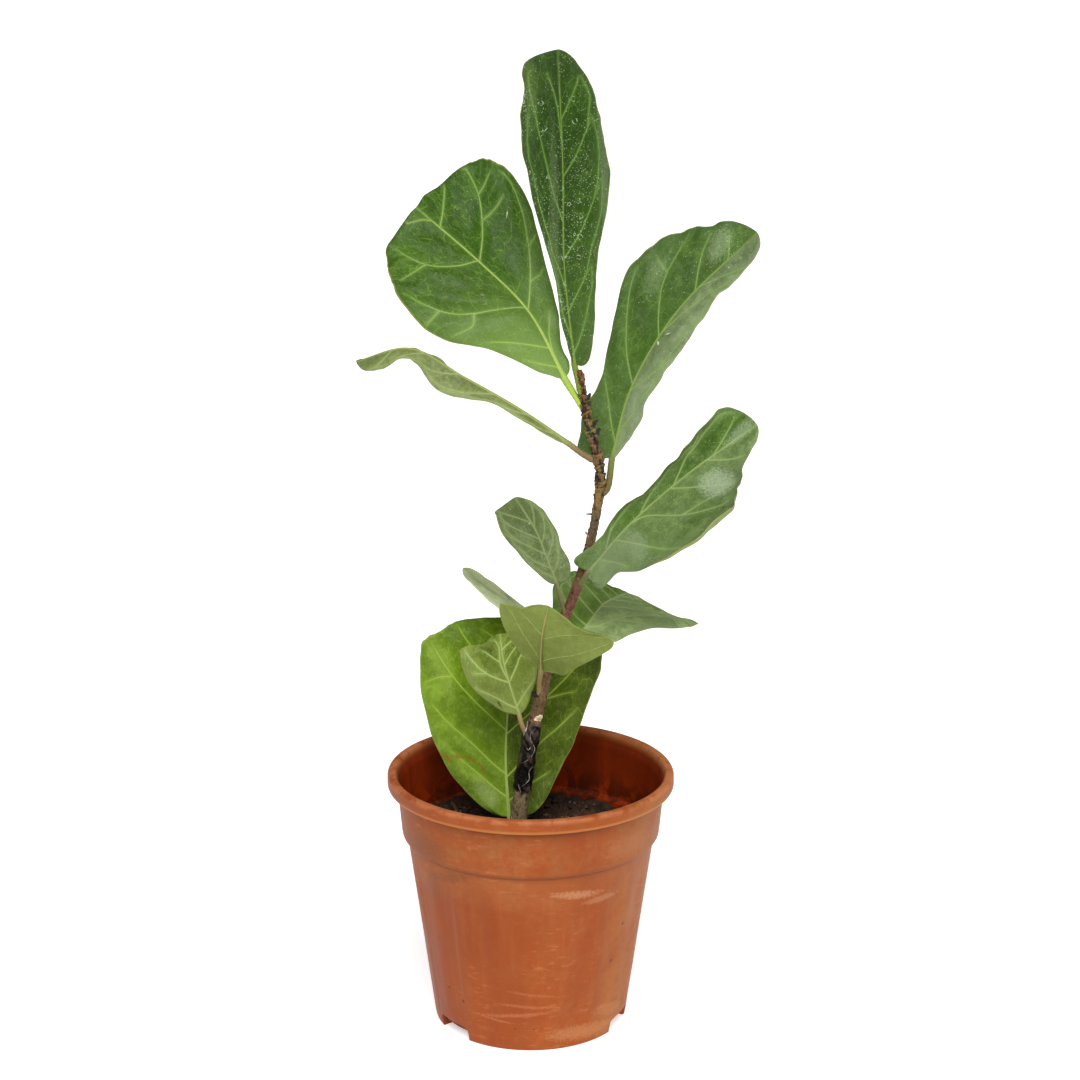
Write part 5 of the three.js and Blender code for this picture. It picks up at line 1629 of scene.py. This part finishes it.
def leaf_material(leaf):
    """Green above, paler below, pale veins with soft halos and a net between them, dust and dried drops,
    with painted shade along the midrib and painted light towards the margins.
    """
    material, wires, shader, place = new_material(leaf["name"].replace("_", " "))

    under, reach, share, across, rib, vein, x, y = map(
        wires.value, ("under", "reach", "share", "across", "rib", "vein", "x", "y"))
    flat = wires.combined(x, y)
    net = wires.group(net_group(), **{"Flat place": flat})
    left, right, below, pale, ribs, foot = (shade(*color) for color in leaf["colors"])
    broad = wires.noise(place, 24.0, 4.0, 0.6)
    clouds = wires.noise(place, 90.0, 5.0, 0.65, 0.5)
    mottle = wires.noise(place, 330.0, 4.0, 0.7)
    away = wires.math("ABSOLUTE", across)

    upper = wires.mix(wires.step(y, -0.4, 0.4), left, right)
    base = upper
    valley = wires.times(wires.step(reach, 0.5, 7.0), wires.step(broad, 0.36, 0.6, 0.3, 1.0))
    for tint, *masks in (
        ((0.55, 1.12), valley, 0.8),
        ((1.55, 0.95, 0.492), wires.step(clouds, 0.5, 0.64), 0.6),
        ((0.55, 1.05), wires.step(clouds, 0.46, 0.34), 0.6),
        ((1.55, 0.9), wires.step(mottle, 0.5, 0.62), 0.35),
        # Painted shade along the midrib's trough, and painted light towards the margins.
        ((0.6, 1.1), wires.step(away, 0.42, 0.04), leaf["painted_trough_shade"]),
        ((1.5, 0.72), wires.step(away, 0.55, 1.0), leaf["rim"]),
        ((2.45, 0.8, 0.477), wires.step(share, 0.6, 0.0), leaf["paling"]),
    ):
        upper = wires.over(upper, wires.tinted(base, *tint), *masks)
    upper = wires.over(upper, pale, wires.step(reach, 1.5, 0.2), 0.36)
    faded = wires.step(clouds, 0.35, 0.6, 0.3, 1.0)
    upper = wires.over(upper, pale, net["Ladder"], faded, 0.38)
    upper = wires.over(upper, pale, net["Net"], 0.12)
    dust = wires.group(dust_group(), Place=place, Scale=30.0)["Dust"]
    film = wires.plus(wires.times(dust, 0.85), 0.08)
    upper = wires.over(upper, shade(150, 160, 122), film, leaf["dust"])

    low = wires.over(below, wires.tinted(below, 0.8), wires.step(clouds, 0.36, 0.62), 0.5)
    low = wires.over(low, wires.tinted(below, 1.2, 0.85), wires.step(mottle, 0.5, 0.66), 0.3)
    low = wires.over(low, pale, net["Ladder"], 0.22)
    blade = wires.mix(under, upper, low)

    veins = wires.mix(wires.step(share, 0.0, 0.75, 0.0, 0.3), wires.tinted(pale, 1.15), upper)
    veins = wires.mix(wires.step(rib, 0.0, 0.001), veins, wires.mix(wires.step(rib, 0.42, 0.8), ribs, foot))
    veins = wires.over(veins, upper, wires.step(clouds, 0.4, 0.7), 0.35)
    blade = wires.mix(vein, blade, veins)
    blade = wires.over(blade, shade(146, 144, 70), wires.step(away, 0.978, 0.992), 0.5)
    specks = wires.group(speck_group(), Place=place, Scale=850.0, Share=leaf["specks"])["Specks"]
    drops = wires.group(speck_group(), Place=place, Scale=230.0, Share=leaf["specks"])["Rings"]
    marked = wires.math("MAXIMUM", specks, drops)
    blade = wires.over(blade, shade(180, 194, 160), marked, 0.62)
    for middle_x, middle_y, long, wide, turn, strength, color in leaf["marks"]:
        mark = wires.group(mark_group(), Flat=flat, Middle=(middle_x, middle_y, 0), Length=long, Width=wide,
                           Turn=math.radians(turn))["Mark"]
        blade = wires.over(blade, shade(*color), mark, strength)
    sheen = wires.plus(wires.step(clouds, 0.35, 0.65, -0.08, 0.1), leaf["roughness"])
    sheen = wires.plus(sheen, wires.times(film, leaf["dust"], 0.45))
    rough = wires.math("ADD", sheen, wires.times(under, 0.15), clamp=True)
    height = wires.plus(net["Height"], wires.times(mottle, 0.8))
    dress(wires, shader, blade, rough, height, 0.22, 0.0004, 0.1)
    return material


class FigLeafSettings(bpy.types.PropertyGroup):
    thickness: FloatProperty(
        name="Blade thickness", description="Thickness of a blade between its veins", unit="LENGTH",
        min=0.0003, max=0.002, default=0.0007, precision=5)
    vein_width: FloatProperty(
        name="Vein width", description="Half the width of a lateral vein's tube at the midrib",
        unit="LENGTH", min=0.0001, max=0.002, default=0.0008, precision=5)
    quilting: FloatProperty(
        name="Quilting", description="How strongly the blades bulge between their veins", subtype="FACTOR",
        min=0, max=2, default=1)


class FIG_OT_leaves(bpy.types.Operator):
    """Builds every leaf with its stalk, veins and quilted blade"""

    bl_idname = "fig.leaves"
    bl_label = "Leaves"

    def execute(self, context):
        settings = context.scene.fig_leaf
        half = settings.thickness / MM / 2
        for seed, leaf in enumerate(LEAVES):
            blade = Blade(leaf, seed, settings.quilting)
            forms = [leaf_blade(blade, half), leaf_stalk(blade, half)]
            forms += leaf_veins(blade, half, settings.vein_width / MM)
            name = leaf["name"].replace("leaf_", "foliage_")
            make_piece(name, joined(forms), leaf_material(leaf), [leaf["name"]])
        return {"FINISHED"}


# ================================================================ stage


class FigStageSettings(bpy.types.PropertyGroup):
    floor_color: FloatVectorProperty(
        name="Floor colour", description="Colour of the plain floor", subtype="COLOR",
        size=3, min=0, max=1, default=(0.96, 0.96, 0.96))
    sky: FloatProperty(
        name="Room light", description="Strength of the even light of the room", min=0, max=10,
        default=0.22)
    soft_light: FloatProperty(
        name="Soft light", description="Strength of the broad light from above at the left", min=0, max=20,
        default=2.9)
    key_power: FloatProperty(
        name="Key light", description="Power of the large light at the front left", unit="POWER",
        min=0, max=1000, default=5)
    fill_power: FloatProperty(
        name="Fill light", description="Power of the light at the right", unit="POWER",
        min=0, max=1000, default=6)


def soft_light(name, place, aim, power):
    """A square area light at a place, turned towards its aim. Places are in metres."""
    light = bpy.data.lights.new(name, "AREA")
    light.size = LAMP_SIZE
    light.energy = power
    lamp = bpy.data.objects.new(name, light)
    bpy.context.scene.collection.objects.link(lamp)
    lamp.location = place
    heading = Vector(aim) - Vector(place)
    lamp.rotation_euler = heading.to_track_quat("-Z", "Y").to_euler()


class FIG_OT_stage(bpy.types.Operator):
    """Sets the plain floor, the soft lights and the camera"""

    bl_idname = "fig.stage"
    bl_label = "Stage"

    def execute(self, context):
        settings = context.scene.fig_stage
        scene = context.scene
        self.lay_floor(settings)
        world = bpy.data.worlds.new("room")
        world.use_nodes = True
        wires = Wires(world.node_tree)
        seen = wires.node("ShaderNodeLightPath").outputs["Is Camera Ray"]
        backdrop = world.node_tree.nodes["Background"]
        backdrop.inputs["Color"].default_value = (1, 1, 1, 1)
        wires.put(backdrop.inputs["Strength"], wires.step(seen, 0.0, 1.0, settings.sky, 1.0))
        scene.world = world
        broad = bpy.data.objects.new("broad light", bpy.data.lights.new("broad light", "SUN"))
        broad.data.energy = settings.soft_light
        broad.data.angle = math.radians(SUN_SPREAD)
        broad.rotation_euler = Vector(SUN_HEADING).to_track_quat("-Z", "Y").to_euler()
        scene.collection.objects.link(broad)
        soft_light("key", KEY_PLACE, PLANT_MIDDLE, settings.key_power)
        soft_light("fill", FILL_PLACE, PLANT_MIDDLE, settings.fill_power)
        scene.view_settings.view_transform = "Standard"
        self.place_camera(scene)
        return {"FINISHED"}

    def lay_floor(self, settings):
        """A plain square on the ground, which glows a little so that it looks white."""
        mesh = bpy.data.meshes.new("floor")
        corners = [(x * FLOOR_REACH, y * FLOOR_REACH, 0) for x, y in ((-1, -1), (1, -1), (1, 1), (-1, 1))]
        mesh.from_pydata(corners, [], [(0, 1, 2, 3)])
        floor = bpy.data.objects.new("floor", mesh)
        bpy.context.scene.collection.objects.link(floor)
        material, wires, shader, place = new_material("plain floor")
        tone = wires.noise(place, 3.0, 2.0)
        paler = tuple(min(1, part * 1.02) for part in settings.floor_color)
        wires.put(shader.inputs["Base Color"], wires.mix(tone, tuple(settings.floor_color), paler))
        shader.inputs["Roughness"].default_value = 0.9
        shader.inputs["Emission Color"].default_value = (1, 1, 1, 1)
        shader.inputs["Emission Strength"].default_value = FLOOR_GLOW
        mesh.materials.append(material)

    def place_camera(self, scene):
        """The camera that the photo was taken with, as measured from the pot's rim and foot."""
        data = bpy.data.cameras.new("camera")
        data.sensor_width = SENSOR
        data.lens = FOCAL_PIXELS / PHOTO_PIXELS * SENSOR
        data.shift_x = 0.5 - CENTRE_COLUMN / PHOTO_PIXELS
        data.clip_end = 100
        camera = bpy.data.objects.new("camera", data)
        scene.collection.objects.link(camera)
        camera.location = (0, -CAMERA_DISTANCE, CAMERA_HEIGHT)
        camera.rotation_euler = (math.pi / 2 - CAMERA_PITCH, 0, 0)
        scene.camera = camera


# ================================================================ panel and registration


class FIG_PT_panel(bpy.types.Panel):
    """Lists the plant's pieces and their settings"""

    bl_label = "Fiddle leaf fig"
    bl_idname = "FIG_PT_panel"
    bl_space_type = "VIEW_3D"
    bl_region_type = "UI"
    bl_category = "Fig"

    def draw(self, context):
        scene = context.scene
        for settings, operators in (
            (scene.fig_pot, ("fig.pot",)),
            (scene.fig_soil, ("fig.soil", "fig.crumbs")),
            (scene.fig_stem, ("fig.stem", "fig.scales", "fig.shreds")),
            (scene.fig_leaf, ("fig.leaves",)),
            (scene.fig_stage, ("fig.stage",)),
        ):
            box = self.layout.box()
            for name in settings.__annotations__:
                box.prop(settings, name)
            for operator in operators:
                box.operator(operator)


SETTINGS = {
    "fig_pot": FigPotSettings,
    "fig_soil": FigSoilSettings,
    "fig_stem": FigStemSettings,
    "fig_leaf": FigLeafSettings,
    "fig_stage": FigStageSettings,
}
OPERATORS = (FIG_OT_pot, FIG_OT_soil, FIG_OT_crumbs, FIG_OT_stem, FIG_OT_scales, FIG_OT_shreds,
             FIG_OT_leaves, FIG_OT_stage)


def register():
    for name, group in SETTINGS.items():
        bpy.utils.register_class(group)
        setattr(bpy.types.Scene, name, PointerProperty(type=group))
    for operator in OPERATORS:
        bpy.utils.register_class(operator)
    bpy.utils.register_class(FIG_PT_panel)


def unregister():
    bpy.utils.unregister_class(FIG_PT_panel)
    for operator in reversed(OPERATORS):
        bpy.utils.unregister_class(operator)
    for name, group in reversed(SETTINGS.items()):
        delattr(bpy.types.Scene, name)
        bpy.utils.unregister_class(group)


def main():
    """Builds every piece and the stage."""
    register()
    for build in (bpy.ops.fig.pot, bpy.ops.fig.soil, bpy.ops.fig.crumbs, bpy.ops.fig.stem,
                  bpy.ops.fig.scales, bpy.ops.fig.shreds, bpy.ops.fig.leaves, bpy.ops.fig.stage):
        build()


if __name__ == "__main__":
    main()
